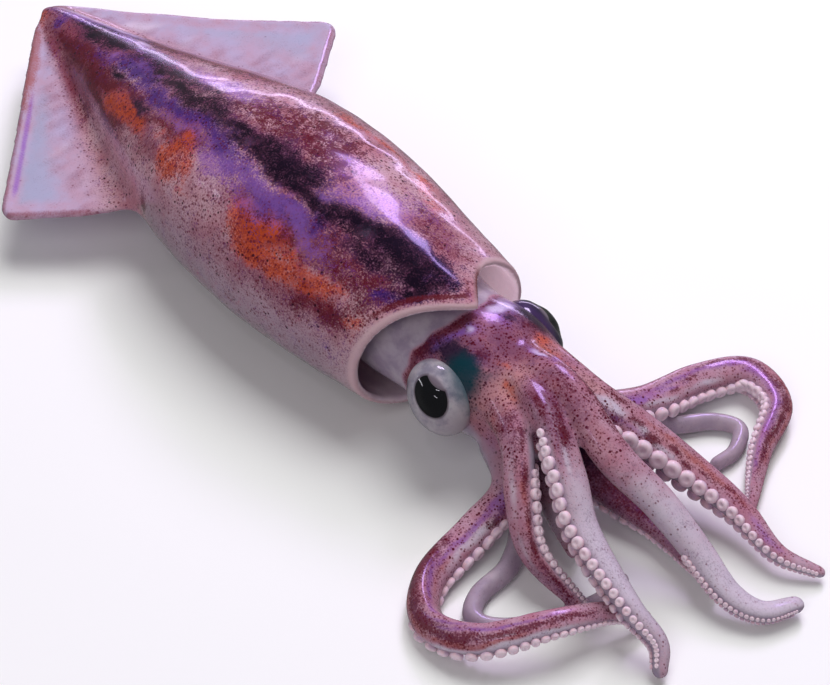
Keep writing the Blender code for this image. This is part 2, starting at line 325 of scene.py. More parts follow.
def makeMantle():
    piece = weldedSkin("squidMantle", [mantleShape(), finShape(1), finShape(-1)], mantle["voxel"])
    points = relax(piece, pointsOf(piece), 6)
    along, angle, share, _ = mantlePlace(points)
    inside, rise = finPlace(points)
    # a fillet where the fins grow out of the body
    nearRoot = smoothStep((1.6 - share) / 0.4) * smoothStep((inside + 6) / 5) * smoothStep(1.8 - np.abs(rise) / 8)
    points = relax(piece, points, 60, nearRoot, keep=0)
    # no steps left by the small squares along the fins' edges
    points = relax(piece, points, 16, smoothStep((5 - inside) / 3) * smoothStep((share - 1.3) / 0.2))
    # the plain stretches go back to the exact round
    along, angle, share, (middleY, middleZ, halfWidth, halfHeight, drop) = mantlePlace(points)
    outer = smoothStep((0.05 - np.abs(share - 1)) / 0.02) * (1 - smoothStep(nearRoot * 5))
    outer *= smoothStep((mantleEnd - 1.5 - along) / 2) * smoothStep((points[:, 2] - 2) / 2)
    scale = 1 + outer * (1 / np.maximum(share, 0.05) - 1)
    points[:, 1] = middleY + (points[:, 1] - middleY) * scale
    points[:, 2] = middleZ - drop + (points[:, 2] + drop - middleZ) * scale
    movePoints(piece, points)
    # soft swells in the muscle, a rolled edge round the fins
    normals = normalsOf(piece)
    stretched = points * (0.5, 1, 1)
    swell = 0.17 * softNoise(stretched, 26, 3) + 0.03 * softNoise(stretched, 8, 4)
    swell += 0.10 * softNoise(points, 12, 5) * smoothStep((along + 20) / 30)
    swell *= smoothStep((mantleEnd - 1 - along) / 6) * smoothStep(points[:, 2] / 8) * smoothStep((share - 0.96) / 0.03)
    onFin = smoothStep((share - 1.12) / 0.15) * smoothStep((inside + 2) / 2)
    rolled = np.exp(-((inside - 2.0) / 1.6) ** 2) * 0.4 - 0.2 * np.exp(-((inside - 6) / 2.5) ** 2)
    rays = 0.04 * softNoise(points * (0.25, 1, 1), 6, 9)
    swell = swell * (1 - onFin) + onFin * (rolled + rays + 0.2 * softNoise(points, 34, 8))
    points = points + normals * swell[:, None]
    points[:, 2] = np.maximum(points[:, 2], 0)
    movePoints(piece, points)
    return piece


# Patches of colour on the mantle: (mm along from the origin, degrees from the top, half length, half width, strength).
mantlePatches = {
    "wine": (
        (-96, -50, 16, 24, 0.95), (-76, -58, 16, 26, 0.95), (-56, -50, 16, 18, 0.95), (-40, -42, 14, 12, 0.9),
        (-88, -10, 24, 24, 0.9), (-56, 2, 24, 12, 0.8), (-14, -30, 22, 12, 0.7), (4, -8, 20, 6, 0.5),
        (56, -32, 22, 10, 0.55), (34, -44, 18, 12, 0.9), (-56, 30, 26, 10, 0.8),
        (-24, 32, 24, 8, 0.6), (62, -60, 12, 12, 0.7), (-40, 52, 30, 14, 0.6), (66, 16, 10, 14, 0.6), (-88, -84, 20, 16, 0.8),
        (-108, -40, 8, 40, 0.7), (-20, -52, 12, 8, 0.6), (40, -70, 24, 10, 0.45), (10, 38, 16, 5, 0.3),
    ),
    "maroon": (
        (-99, -52, 6, 10, 1.0), (-92, -43, 8, 10, 0.95), (-84, -50, 6, 10, 0.9), (-71, -54, 6, 16, 1.0),
        (-66, -42, 8, 8, 0.9), (-59, -62, 12, 6, 0.95), (-48, -60, 8, 5, 0.85), (-76, -32, 8, 8, 0.85),
        (-56, -33, 10, 6, 0.9), (-43, -33, 9, 6, 1.0), (-34, -41, 8, 6, 0.9), (-22, -37, 9, 4, 0.7),
        (-9, -34, 11, 5, 0.85), (-6, -5, 8, 6, 0.5), (9, 5, 12, 9, 0.5), (15, -3, 8, 7, 0.6),
        (24, 6, 5, 12, 0.5), (32, 10, 5, 14, 0.5), (38, -2, 3, 8, 0.6), (20, 22, 8, 6, 0.5),
        (30, -43, 12, 5, 0.85), (40, -44, 6, 6, 0.8), (50, -31, 8, 7, 0.5), (60, -34, 10, 7, 0.55),
        (68, -28, 6, 10, 0.7), (73, -40, 4, 14, 0.8), (70, -57, 4, 5, 1.0), (61, -68, 4, 8, 0.8),
        (66, -62, 4, 5, 0.8), (-17, -84, 2.5, 11, 1.0), (-68, -86, 5, 15, 0.8), (-76, -74, 8, 8, 0.6),
        (-90, -70, 8, 12, 0.6), (-116, -25, 3, 15, 0.8), (-40, -70, 8, 4, 0.6), (-60, 26, 12, 6, 0.6), (-86, -38, 12, 12, 1.0), (-70, -47, 10, 12, 1.0),
        (-62, -38, 8, 6, 0.8),
        (62, 10, 6, 6, 0.6), (-84, -28, 8, 8, 0.7),
    ),
    "orange": (
        (-50, -50, 8, 8, 1.0), (-40, -47, 8, 8, 1.0), (-32, -46, 5, 7, 0.8), (-46, -41, 9, 5, 0.8),
        (-14, -48, 5, 10, 0.95), (-6, -53, 6, 9, 1.0), (-10, -40, 8, 6, 0.95), (0, -50, 4, 8, 0.7),
        (26, -50, 6, 9, 1.0), (36, -57, 8, 8, 1.0), (34, -47, 8, 6, 0.95), (46, -58, 6, 6, 0.9),
        (56, -56, 7, 6, 0.95), (62, -48, 6, 7, 0.85), (50, -48, 8, 6, 0.7), (20, 38, 8, 5, 0.7),
        (34, 40, 6, 5, 0.8), (50, 38, 8, 6, 0.7), (58, 30, 5, 8, 0.5), (-117, -60, 4, 44, 0.9),
        (-30, 34, 18, 6, 0.4), (74, -54, 4, 8, 0.6),
    ),
    # Violet patches at and above the top line behind the middle (angles near zero and positive) are painted reflection
    # under the ridge highlight; the rest is the skin's own violet.
    "violet": (
        (-61, -13, 9, 11, 1.0), (-50, -14, 9, 12, 1.0), (-36, -24, 10, 6, 1.0), (-22, -23, 10, 6, 1.0),
        (-8, -22, 10, 6, 1.0), (4, -26, 9, 5, 0.85), (-74, -22, 7, 10, 0.6), (16, -31, 9, 6, 0.75),
        (29, -34, 9, 5, 0.8), (38, -33, 7, 6, 0.95), (45, -26, 4, 7, 0.95), (42, -14, 3, 5, 0.75),
        (76, -20, 2, 12, 0.9), (73, -33, 3, 6, 0.9), (69, -6, 4, 5, 0.8), (-107, -30, 3, 26, 0.8), (-98, 10, 10, 10, 0.85), (-84, 18, 10, 7, 0.8),
        (-112, 8, 7, 30, 0.7), (72, -2, 3, 3, 0.8), (-64, 4, 14, 5, 0.6), (-30, 2, 14, 5, 0.5),
        (-96, 24, 14, 10, 0.8), (-70, 12, 14, 5, 0.7),
    ),
    "lace": (
        (-14, 2, 16, 9, 0.8), (2, 4, 14, 12, 0.9), (18, 8, 14, 18, 1.0), (32, 8, 9, 20, 1.0), (-2, -32, 14, 5, 0.5),
        (54, -32, 12, 9, 0.6), (34, -44, 16, 6, 0.7), (66, -34, 8, 12, 0.6), (-66, -48, 22, 18, 0.8),
        (-92, -40, 14, 30, 0.8), (-58, -66, 16, 8, 0.7), (58, 20, 8, 10, 0.7), (-30, 26, 24, 10, 0.7),
        (-70, 30, 24, 12, 0.7), (60, -60, 10, 10, 0.6), (4, 30, 20, 8, 0.5),
    ),
    # Lilac patches at and above the top line (angles near zero and positive) are painted highlight where the wet back
    # shines; those lower on the -Y side are the skin's own lilac.
    "lilac": (
        (-16, -31, 14, 4, 0.6), (6, -37, 13, 5, 0.75), (26, -42, 12, 4, 0.6), (50, -35, 9, 7, 0.65),
        (12, -31, 13, 6, 0.8), (27, -32, 10, 6, 0.7), (38, -34, 7, 5, 0.8), (-12, 5, 14, 7, 0.8),
        (44, -4, 6, 6, 0.8), (51, 7, 7, 10, 0.7), (-54, -12, 6, 5, 0.5), (-30, -22, 6, 3, 0.4),
        (-72, -14, 2, 10, 0.8), (2, -18, 8, 4, 0.4), (-104, 34, 14, 14, 0.9), (58, 22, 8, 8, 0.5),
        (-84, 26, 14, 6, 0.9), (-28, 6, 12, 7, 0.7),
        (42, -13, 2, 4, 0.7),
    ),
    "dark": (
        (-86, -12, 9, 12, 1.0), (-95, 2, 9, 11, 0.85), (-78, 3, 11, 11, 0.9), (-62, -27, 7, 4, 0.9),
        (-54, 3, 10, 5, 0.8), (-44, -4, 9, 5, 0.75), (-38, -34, 9, 4, 0.85), (-31, -12, 10, 4, 0.9),
        (-19, -12, 9, 3.5, 0.7), (-8, -12, 9, 4, 0.66), (4, -13, 8, 4, 0.7), (14, -13, 9, 5, 0.75),
        (26, -12, 9, 9, 1.0), (37, -20, 8, 5, 1.0), (34, -8, 6, 6, 0.85), (50, -14, 7, 9, 1.0),
        (58, -9, 8, 8, 1.0), (67, -10, 8, 11, 1.0), (74, -18, 4, 14, 0.85), (61, -24, 7, 5, 0.7),
        (-72, 24, 12, 5, 0.5), (8, -20, 14, 3, 0.5), (20, -20, 8, 4, 0.7), (-30, -3, 14, 5, 0.6),
        (-92, 20, 14, 10, 0.7), (66, 0, 9, 4, 0.7), (-60, 10, 14, 5, 0.6), (-12, -6, 12, 4, 0.45),
        (-24, -17, 12, 4, 0.45), (-6, -17, 12, 4, 0.5), (10, -18, 10, 4, 0.5), (24, -22, 8, 5, 0.55),
        (-60, -5, 12, 6, 0.5), (44, -21, 8, 7, 0.65), (-40, -14, 10, 4, 0.5),
    ),
}


def paintMantle(piece):
    points = pointsOf(piece)
    along, angle, share, _ = mantlePlace(points)
    degrees = np.degrees(angle)
    inside, rise = finPlace(points)
    warpAlong = along + 2.0 * softNoise(points, 17, 31, 24) + 0.5 * softNoise(points, 6, 32, 40)
    warpTurn = degrees + 2.4 * softNoise(points, 17, 33, 24) + 0.8 * softNoise(points, 6, 34, 40)
    lipTop = np.exp(-((degrees / 40) ** 2))
    outer = smoothStep((share - 0.955 + 0.015 * lipTop) / 0.02)
    outer *= smoothStep((mantleEnd - 0.6 + 1.1 * lipTop - along) / 1.2)
    outer = np.maximum(outer, smoothStep((10 - along) / 5))
    onFin = smoothStep((share - 1.12) / 0.45) * smoothStep((inside + 1) / 2)
    for name, patches in mantlePatches.items():
        mask = patchesAt(patches, warpAlong, warpTurn)
        writeMask(piece, name, mask * outer * (1 - 0.95 * onFin))
    # a thin dark line close behind the front edge, on the back only
    behindEdge = np.exp(-(((mantleEnd - 3.0 - along) / 1.2) ** 2)) * np.exp(-((np.abs(degrees + 22) / 30) ** 4))
    writeMask(piece, "edgeLine", behindEdge * outer)
    writeMask(piece, "paleRim", 1 - outer)
    writeMask(piece, "darkRim", (1 - outer) * smoothStep((share - 0.925) / 0.02) * smoothStep((along - 60) / 4) * np.exp(-(((degrees - 12) / 10) ** 4)))
    # painted highlight: a pale lilac-white patch along the top of the tail half, where the wet ridge shines
    paintedHighlight = patchesAt(((-102, 44, 16, 14, 0.75), (-84, 29, 12, 6, 0.85), (-70, 18, 8, 4, 0.8)), warpAlong, warpTurn)
    writeMask(piece, "paintedHighlight", paintedHighlight * (1 - onFin))
    insideWall = smoothStep((0.955 - share) / 0.02) * smoothStep((along - 20) / 4)
    writeMask(piece, "insideWall", insideWall)
    # painted glow on the front of the inner wall on the +Y side, standing in for light coming through
    writeMask(piece, "paintedGlow", insideWall * smoothStep((along - 52) / 24) * smoothStep((points[:, 1] + 2) / 12))
    writeMask(piece, "finSkin", onFin)
    writeMask(piece, "finEdge", onFin * smoothStep((3.2 - inside) / 2.6))
    # pigment that runs out from the body over the root of each fin
    streaks = 0.5 + 0.5 * softNoise(points * (1, 0.25, 1), 5, 35)
    writeMask(piece, "finRoot", onFin * np.exp(-np.maximum(share - 1.3, 0) / 0.5) * np.clip(streaks, 0, 1))
    finTop = smoothStep((inside + 9) / 7) * smoothStep((rise + 1) / 2)
    writeMask(piece, "belly", smoothStep((np.abs(degrees) - 54) / 42) * (1 - onFin) * (1 - finTop))
    # a painted highlight as a violet line inside the rolled rim, a cool middle, rusty skin at the rim beside the tail
    rearEdge = smoothStep((fins["middleX"] + fins["sweep"] * np.abs(points[:, 1]) - points[:, 0]) / 6)
    writeMask(piece, "finRimHighlight", onFin * np.exp(-(((inside - 3.8) / 1.1) ** 2)) * rearEdge * (points[:, 1] < 0)
              * smoothStep((np.abs(points[:, 1]) - 20) / 14))
    writeMask(piece, "finCool", onFin * smoothStep((inside - 3) / 6) * smoothStep((share - 1.4) / 0.9)
              * np.where(points[:, 1] < 0, 1, 0.7))
    writeMask(piece, "finRust", onFin * smoothStep((5.5 - inside) / 3) * smoothStep((-74 - points[:, 0]) / 22)
              * smoothStep((points[:, 0] + 119) / 6) * (points[:, 1] < 0))
    whiter = softNoise(points * (0.5, 0.16, 1) @ [[0.8, 0.6, 0], [-0.6, 0.8, 0], [0, 0, 1]], 6, 36)
    writeMask(piece, "finStreak", onFin * smoothStep((whiter - 0.2) / 1.2) * smoothStep((inside - 4) / 5))
    writeMask(piece, "frontPale", smoothStep((along - mantleEnd + 14) / 12) * smoothStep((np.abs(degrees + 4) - 34) / 20))


mantleSkin = makeMantle()
paintMantle(mantleSkin)
print("mantle skin made:", len(mantleSkin.data.vertices), "points")


# ---- head, arms and tentacles ----

head = {
    # x, half width, half height, middle y, middle z
    "rows": (
        (48, 10.0, 8.0, 0, 27.0),
        (54, 19.0, 15.5, 0, 27.0),
        (70, 21.5, 17.0, 0, 27.5),
        (86, 19.5, 17.5, 1.0, 27.0),
        (99, 20.5, 18.5, 2.5, 26.0),
        (110, 18.5, 16.5, 3.5, 25.0),
        (122, 15.5, 13.5, 4, 24.0),
        (130, 8.0, 8.0, 4, 23.0),
    ),
    "rings": 90,
    "sides": 96,
    "voxel": 0.65,
}
funnel = {
    "route": ((64, 0, 13.5), (80, 0, 12.5), (95, 0, 9.5)),
    "radii": (7.0, 4.8),
    "flatness": 1.15,
    "bore": 3.2,
    "boreDepth": 7,
}
# Each limb: the route from root to tip, radii there, how late it thins, which way its sucker side faces at
# root and tip, and how large its suckers are as a share of its radius.
limbs = {
    "armRightLoop": {
        "route": (
            (112, -8, 22), (127, -13, 12), (130, -29, 7), (134, -49, 5.5), (146, -58, 6.5),
            (160, -53, 9), (170, -36, 12), (175, -21, 9), (180, -12, 4),
        ),
        "radii": (4.8, 2.0), "lateness": 3.0, "suckers": 0.44,
        "faces": (
            (0.88, 0, -0.47), (0.88, 0, -0.47), (0.7, 0.2, -0.65), (0, 0, -1), (0.55, -0.42, -0.7),
            (0.6, -0.45, -0.6), (0.3, -0.6, -0.7),
        ),
    },
    "armRightInner": {
        "route": ((112, -6, 32), (128, -12, 30), (139, -20, 22), (150, -25, 13), (168, -22, 3.5)),
        "radii": (4.8, 1.8), "lateness": 2.0, "suckers": 0.44,
        "faces": ((0.4, 0.8, 0.2), (0.4, 0.8, 0.2), (0.6, 0.7, 0.25)),
    },
    "armMiddle": {
        "route": (
            (112, 0, 36), (130, -4, 37), (146, -10, 30), (158, -15, 22), (179, -18, 14), (190, -17, 8),
            (194.8, -20.5, 4),
        ),
        "radii": (4.6, 2.1), "lateness": 3.0, "suckers": 0.44,
        "faces": ((-0.4, -0.85, 0.2), (-0.5, -0.7, 0), (-0.6, -0.65, 0.25), (-0.5, -0.6, 0.5)),
    },
    "armTop": {
        "route": (
            (110, 5, 37), (128, 5, 38.5), (149, 3, 31), (163, 7, 22), (177, 9, 13), (190, 9, 7),
            (199, 13, 4.5), (203, 22, 4),
        ),
        "radii": (5.2, 2.3), "lateness": 2.5, "suckers": 0.27, "suckersFrom": 0.68,
        "faces": ((0, -0.7, -0.6), (0, -0.7, -0.6), (0.1, -0.8, -0.5), (0.8, -0.5, -0.3)),
    },
    "armLeftOuter": {
        "route": (
            (110, 11, 32), (129, 14, 28.5), (142, 22, 20), (156, 28, 13), (172, 31, 9), (188, 30, 6),
            (199, 36, 3),
        ),
        "radii": (6.8, 1.5), "lateness": 1.5, "suckers": 0.52, "rowAngle": 132,
        "faces": ((0.1, -0.9, -0.34), (0.1, -0.9, -0.32), (0.15, -0.9, -0.3), (0.3, -0.8, -0.25)),
    },
    "armLeftLoop": {
        "route": (
            (108, 13, 24), (121, 20, 16), (128, 37, 10.5), (129, 58, 6.5), (136, 72, 6), (150, 70, 5.5),
            (159, 54, 5), (171, 38, 3.5),
        ),
        "radii": (5.2, 1.5), "lateness": 3.0, "suckers": 0.44,
        "faces": (
            (0.88, 0, -0.47), (0.88, 0, -0.47), (0.88, 0, -0.47), (0.6, -0.5, -0.6), (0, -0.88, -0.47),
            (-0.84, -0.55, 0), (-0.84, -0.55, 0.1), (-0.8, -0.55, 0),
        ),
    },
    "armLowLeft": {
        "route": ((110, 9, 19), (127, 7, 14.5), (144, 9, 9), (162, 12, 6.5), (182, 11, 4)),
        "radii": (5.6, 2.2), "lateness": 2.0, "faces": ((0, -0.3, -1), (0, -0.3, -1)), "suckers": 0.34,
    },
    "armLowRight": {
        "route": ((110, 1, 15), (126, -2, 9), (138, -6, 6), (151, -11, 4)),
        "radii": (4.6, 1.8), "lateness": 2.0, "faces": ((0, 0, -1), (0, 0, -1)), "suckers": 0.34,
    },
    "tentacleLeft": {
        "route": (
            (110, 17, 20), (124, 30, 10), (134, 42, 4), (141, 53, 3.2), (148, 57, 3), (153, 50, 3),
            (153, 43, 2.6),
        ),
        "radii": (3.6, 2.1), "lateness": 1.0, "faces": ((0, 0, -1), (0, 0, -1)), "suckers": 0,
    },
    "tentacleRight": {
        "route": (
            (112, -8, 14), (133, -15, 6.5), (143, -27, 4), (145, -40, 3), (150, -46, 2.6),
            (157, -42, 2.4), (164, -29, 2.4), (167, -15, 2.4), (166, -7, 2.4),
        ),
        "radii": (3.6, 2.1), "lateness": 1.0, "faces": ((0, 0, -1), (0, 0, -1)), "suckers": 0,
    },
}
limbSection = {"sides": 32, "spacing": 0.7, "keel": 0.07, "ridge": 0.10, "ridgeWidth": 0.33, "rowAngle": 146}


def limbFrames(limb):
    # evenly spaced places down a limb, each with its tangent, sucker side, sideways direction and radius
    length = np.sum(np.linalg.norm(np.diff(curveThrough(limb["route"], 200), axis=0), axis=1))
    path = curveThrough(limb["route"], int(length / limbSection["spacing"]))
    tangents = np.gradient(path, axis=0)
    tangents /= np.linalg.norm(tangents, axis=1)[:, None]
    share = np.linspace(0, 1, len(path))
    keys = np.linspace(0, 1, len(limb["faces"]))
    oral = np.stack([np.interp(share, keys, column) for column in zip(*limb["faces"])], axis=1)
    oral -= tangents * np.sum(oral * tangents, axis=1)[:, None]
    oral /= np.linalg.norm(oral, axis=1)[:, None]
    across = np.cross(tangents, oral)
    root, tip = limb["radii"]
    radius = tip + (root - tip) * (1 - share ** limb["lateness"])
    return path, tangents, oral, across, radius


def limbShape(limb):
    path, tangents, oral, across, radius = limbFrames(limb)
    angles = np.linspace(0, 2 * math.pi, limbSection["sides"], endpoint=False)
    fromKeel = np.minimum(angles, 2 * math.pi - angles)
    section = 1 + limbSection["keel"] * np.cos(3 * angles)
    if limb["suckers"]:
        section += limbSection["ridge"] * np.exp(-((fromKeel / limbSection["ridgeWidth"]) ** 2))
    rings = []
    for centre, side, sideways, size in zip(path, oral, across, radius):
        reach = size * section
        rings.append(centre - np.outer(reach * np.cos(angles), side) + np.outer(reach * np.sin(angles), sideways))
    last = rings[-1]
    for turn in np.linspace(0, math.pi / 2, 7)[1:-1]:
        forward = tangents[-1] * radius[-1] * 1.1 * math.sin(turn)
        rings.append(path[-1] + (last - path[-1]) * math.cos(turn) + forward)
    for ring in rings:
        ring[:, 2] = np.maximum(ring[:, 2], 0)
    return loft(rings)


def sectionRing(x, halfWidth, halfHeight, middleY, middleZ, sides):
    angles = np.linspace(0, 2 * math.pi, sides, endpoint=False)
    y = middleY + halfWidth * np.sin(angles)
    z = middleZ + halfHeight * np.cos(angles)
    return np.stack([np.full_like(y, x), y, np.maximum(z, 0)], axis=1)


def funnelShape():
    path = curveThrough(funnel["route"], 30)
    sections = list(zip(path, np.linspace(*funnel["radii"], 30)))
    sections += [(path[-1] + (0.5, 0, 0), funnel["radii"][1] - 0.8)]
    sections += [(path[-1] - (depth, 0, 0), funnel["bore"]) for depth in np.linspace(0, funnel["boreDepth"], 8)]
    flat = funnel["flatness"]
    return loft([sectionRing(x, radius * flat, radius / flat, y, z, 32) for (x, y, z), radius in sections])


headRows = curveThrough(head["rows"], head["rings"])


def makeHead():
    shapes = [loft([sectionRing(*row, head["sides"]) for row in headRows]), funnelShape()]
    shapes += [limbShape(limb) for limb in limbs.values()]
    piece = weldedSkin("squidHead", shapes, head["voxel"])
    points = relax(piece, pointsOf(piece), 5)
    crown = smoothStep((points[:, 0] - 100) / 10) * smoothStep((138 - points[:, 0]) / 12)
    points = relax(piece, points, 24, crown, keep=0)
    points[:, 2] = np.maximum(points[:, 2], 0)
    movePoints(piece, points)
    return piece


# Patches on the head: (mm along, degrees from the top, half length, half width, strength).
headPatches = {
    "wine": (
        (95, -20, 5, 18, 0.7), (104, -26, 6, 10, 0.9), (108, 0, 11, 18, 0.95), (104, 30, 6, 16, 0.95),
        (122, -60, 8, 16, 0.6), (126, -10, 6, 18, 0.6), (107, 60, 5, 20, 0.7), (92, -50, 3, 14, 0.9),
    ),
    # Violet here is mostly painted highlight: the thin streak beside the near eye, the broad band at the nape and the
    # two marks on a limb root ridge.
    "violet": (
        (93.6, -42, 1.4, 6, 1.0), (95.4, -34, 1.4, 6, 1.0), (97.2, -25, 1.4, 6, 1.0), (96, 34, 4, 26, 1.0),
        (122, 14, 2, 6, 0.8), (124, 26, 2, 9, 0.9), (100, 12, 4, 8, 0.5),
    ),
    # Lilac here is painted highlight: the spot beside the near eye, the nape band and two lines on a limb root ridge.
    "lilac": ((97.5, -16, 1.8, 6, 1.0), (95, 34, 4, 30, 0.9), (115, 9, 5, 3, 0.9), (123.5, 26, 1.2, 8, 0.9)),
    "warm": (
        (116, -40, 7, 22, 1.0), (120, -64, 5, 18, 0.8), (118, -16, 6, 14, 0.7), (112, 34, 5, 20, 0.6),
        (112, -70, 5, 14, 0.6),
    ),
    # painted highlight: pale lilac-white spots where the wet skin shines at the nape, beside the near eye and on a limb
    # root ridge
    "paintedHighlight": (
        (96.2, 18, 2.2, 12, 1.0), (95.6, 34, 2.8, 10, 1.0), (92.5, 56, 1.6, 12, 0.9), (97.6, -17, 0.9, 4, 0.8),
        (116, 10, 3.5, 2.2, 0.9),
    ),
    "dark": (
        (98, -46, 5.5, 9, 1.0), (101.5, -38, 5.5, 7, 1.0), (102, 46, 5, 14, 1.0), (97.5, 66, 5, 14, 1.0),
        (103, 78, 6, 16, 0.9), (101, 20, 2, 5, 0.5),
    ),
    "teal": ((104, -54, 5.6, 12, 1.0), (104.5, -42, 4.8, 10, 1.0), (109, -72, 2.6, 14, 0.6), (107, -58, 3, 8, 0.7)),
    "maroon": (
        (90.5, -56, 2, 9, 1.0), (91.5, -42, 1.6, 10, 0.9), (93, -20, 1.2, 14, 0.6), (104.5, -27, 2.6, 6, 0.95),
        (106, 44, 2, 18, 0.9), (105, 24, 2, 8, 0.7), (124, -66, 4, 14, 0.8), (127, -48, 4, 12, 0.8),
        (126, -10, 4, 8, 0.7), (128, 10, 4, 12, 0.6),
    ),
    "orange": (
        (110.5, 36, 2.4, 8, 1.0), (114, 26, 5, 7, 0.9), (118, 32, 4, 8, 0.6), (117, -35, 2.4, 4, 0.7),
        (122, -38, 3, 6, 0.8), (112, -22, 3, 4, 0.6), (125, 14, 4, 8, 0.6), (123, -66, 4, 12, 0.4),
    ),
}
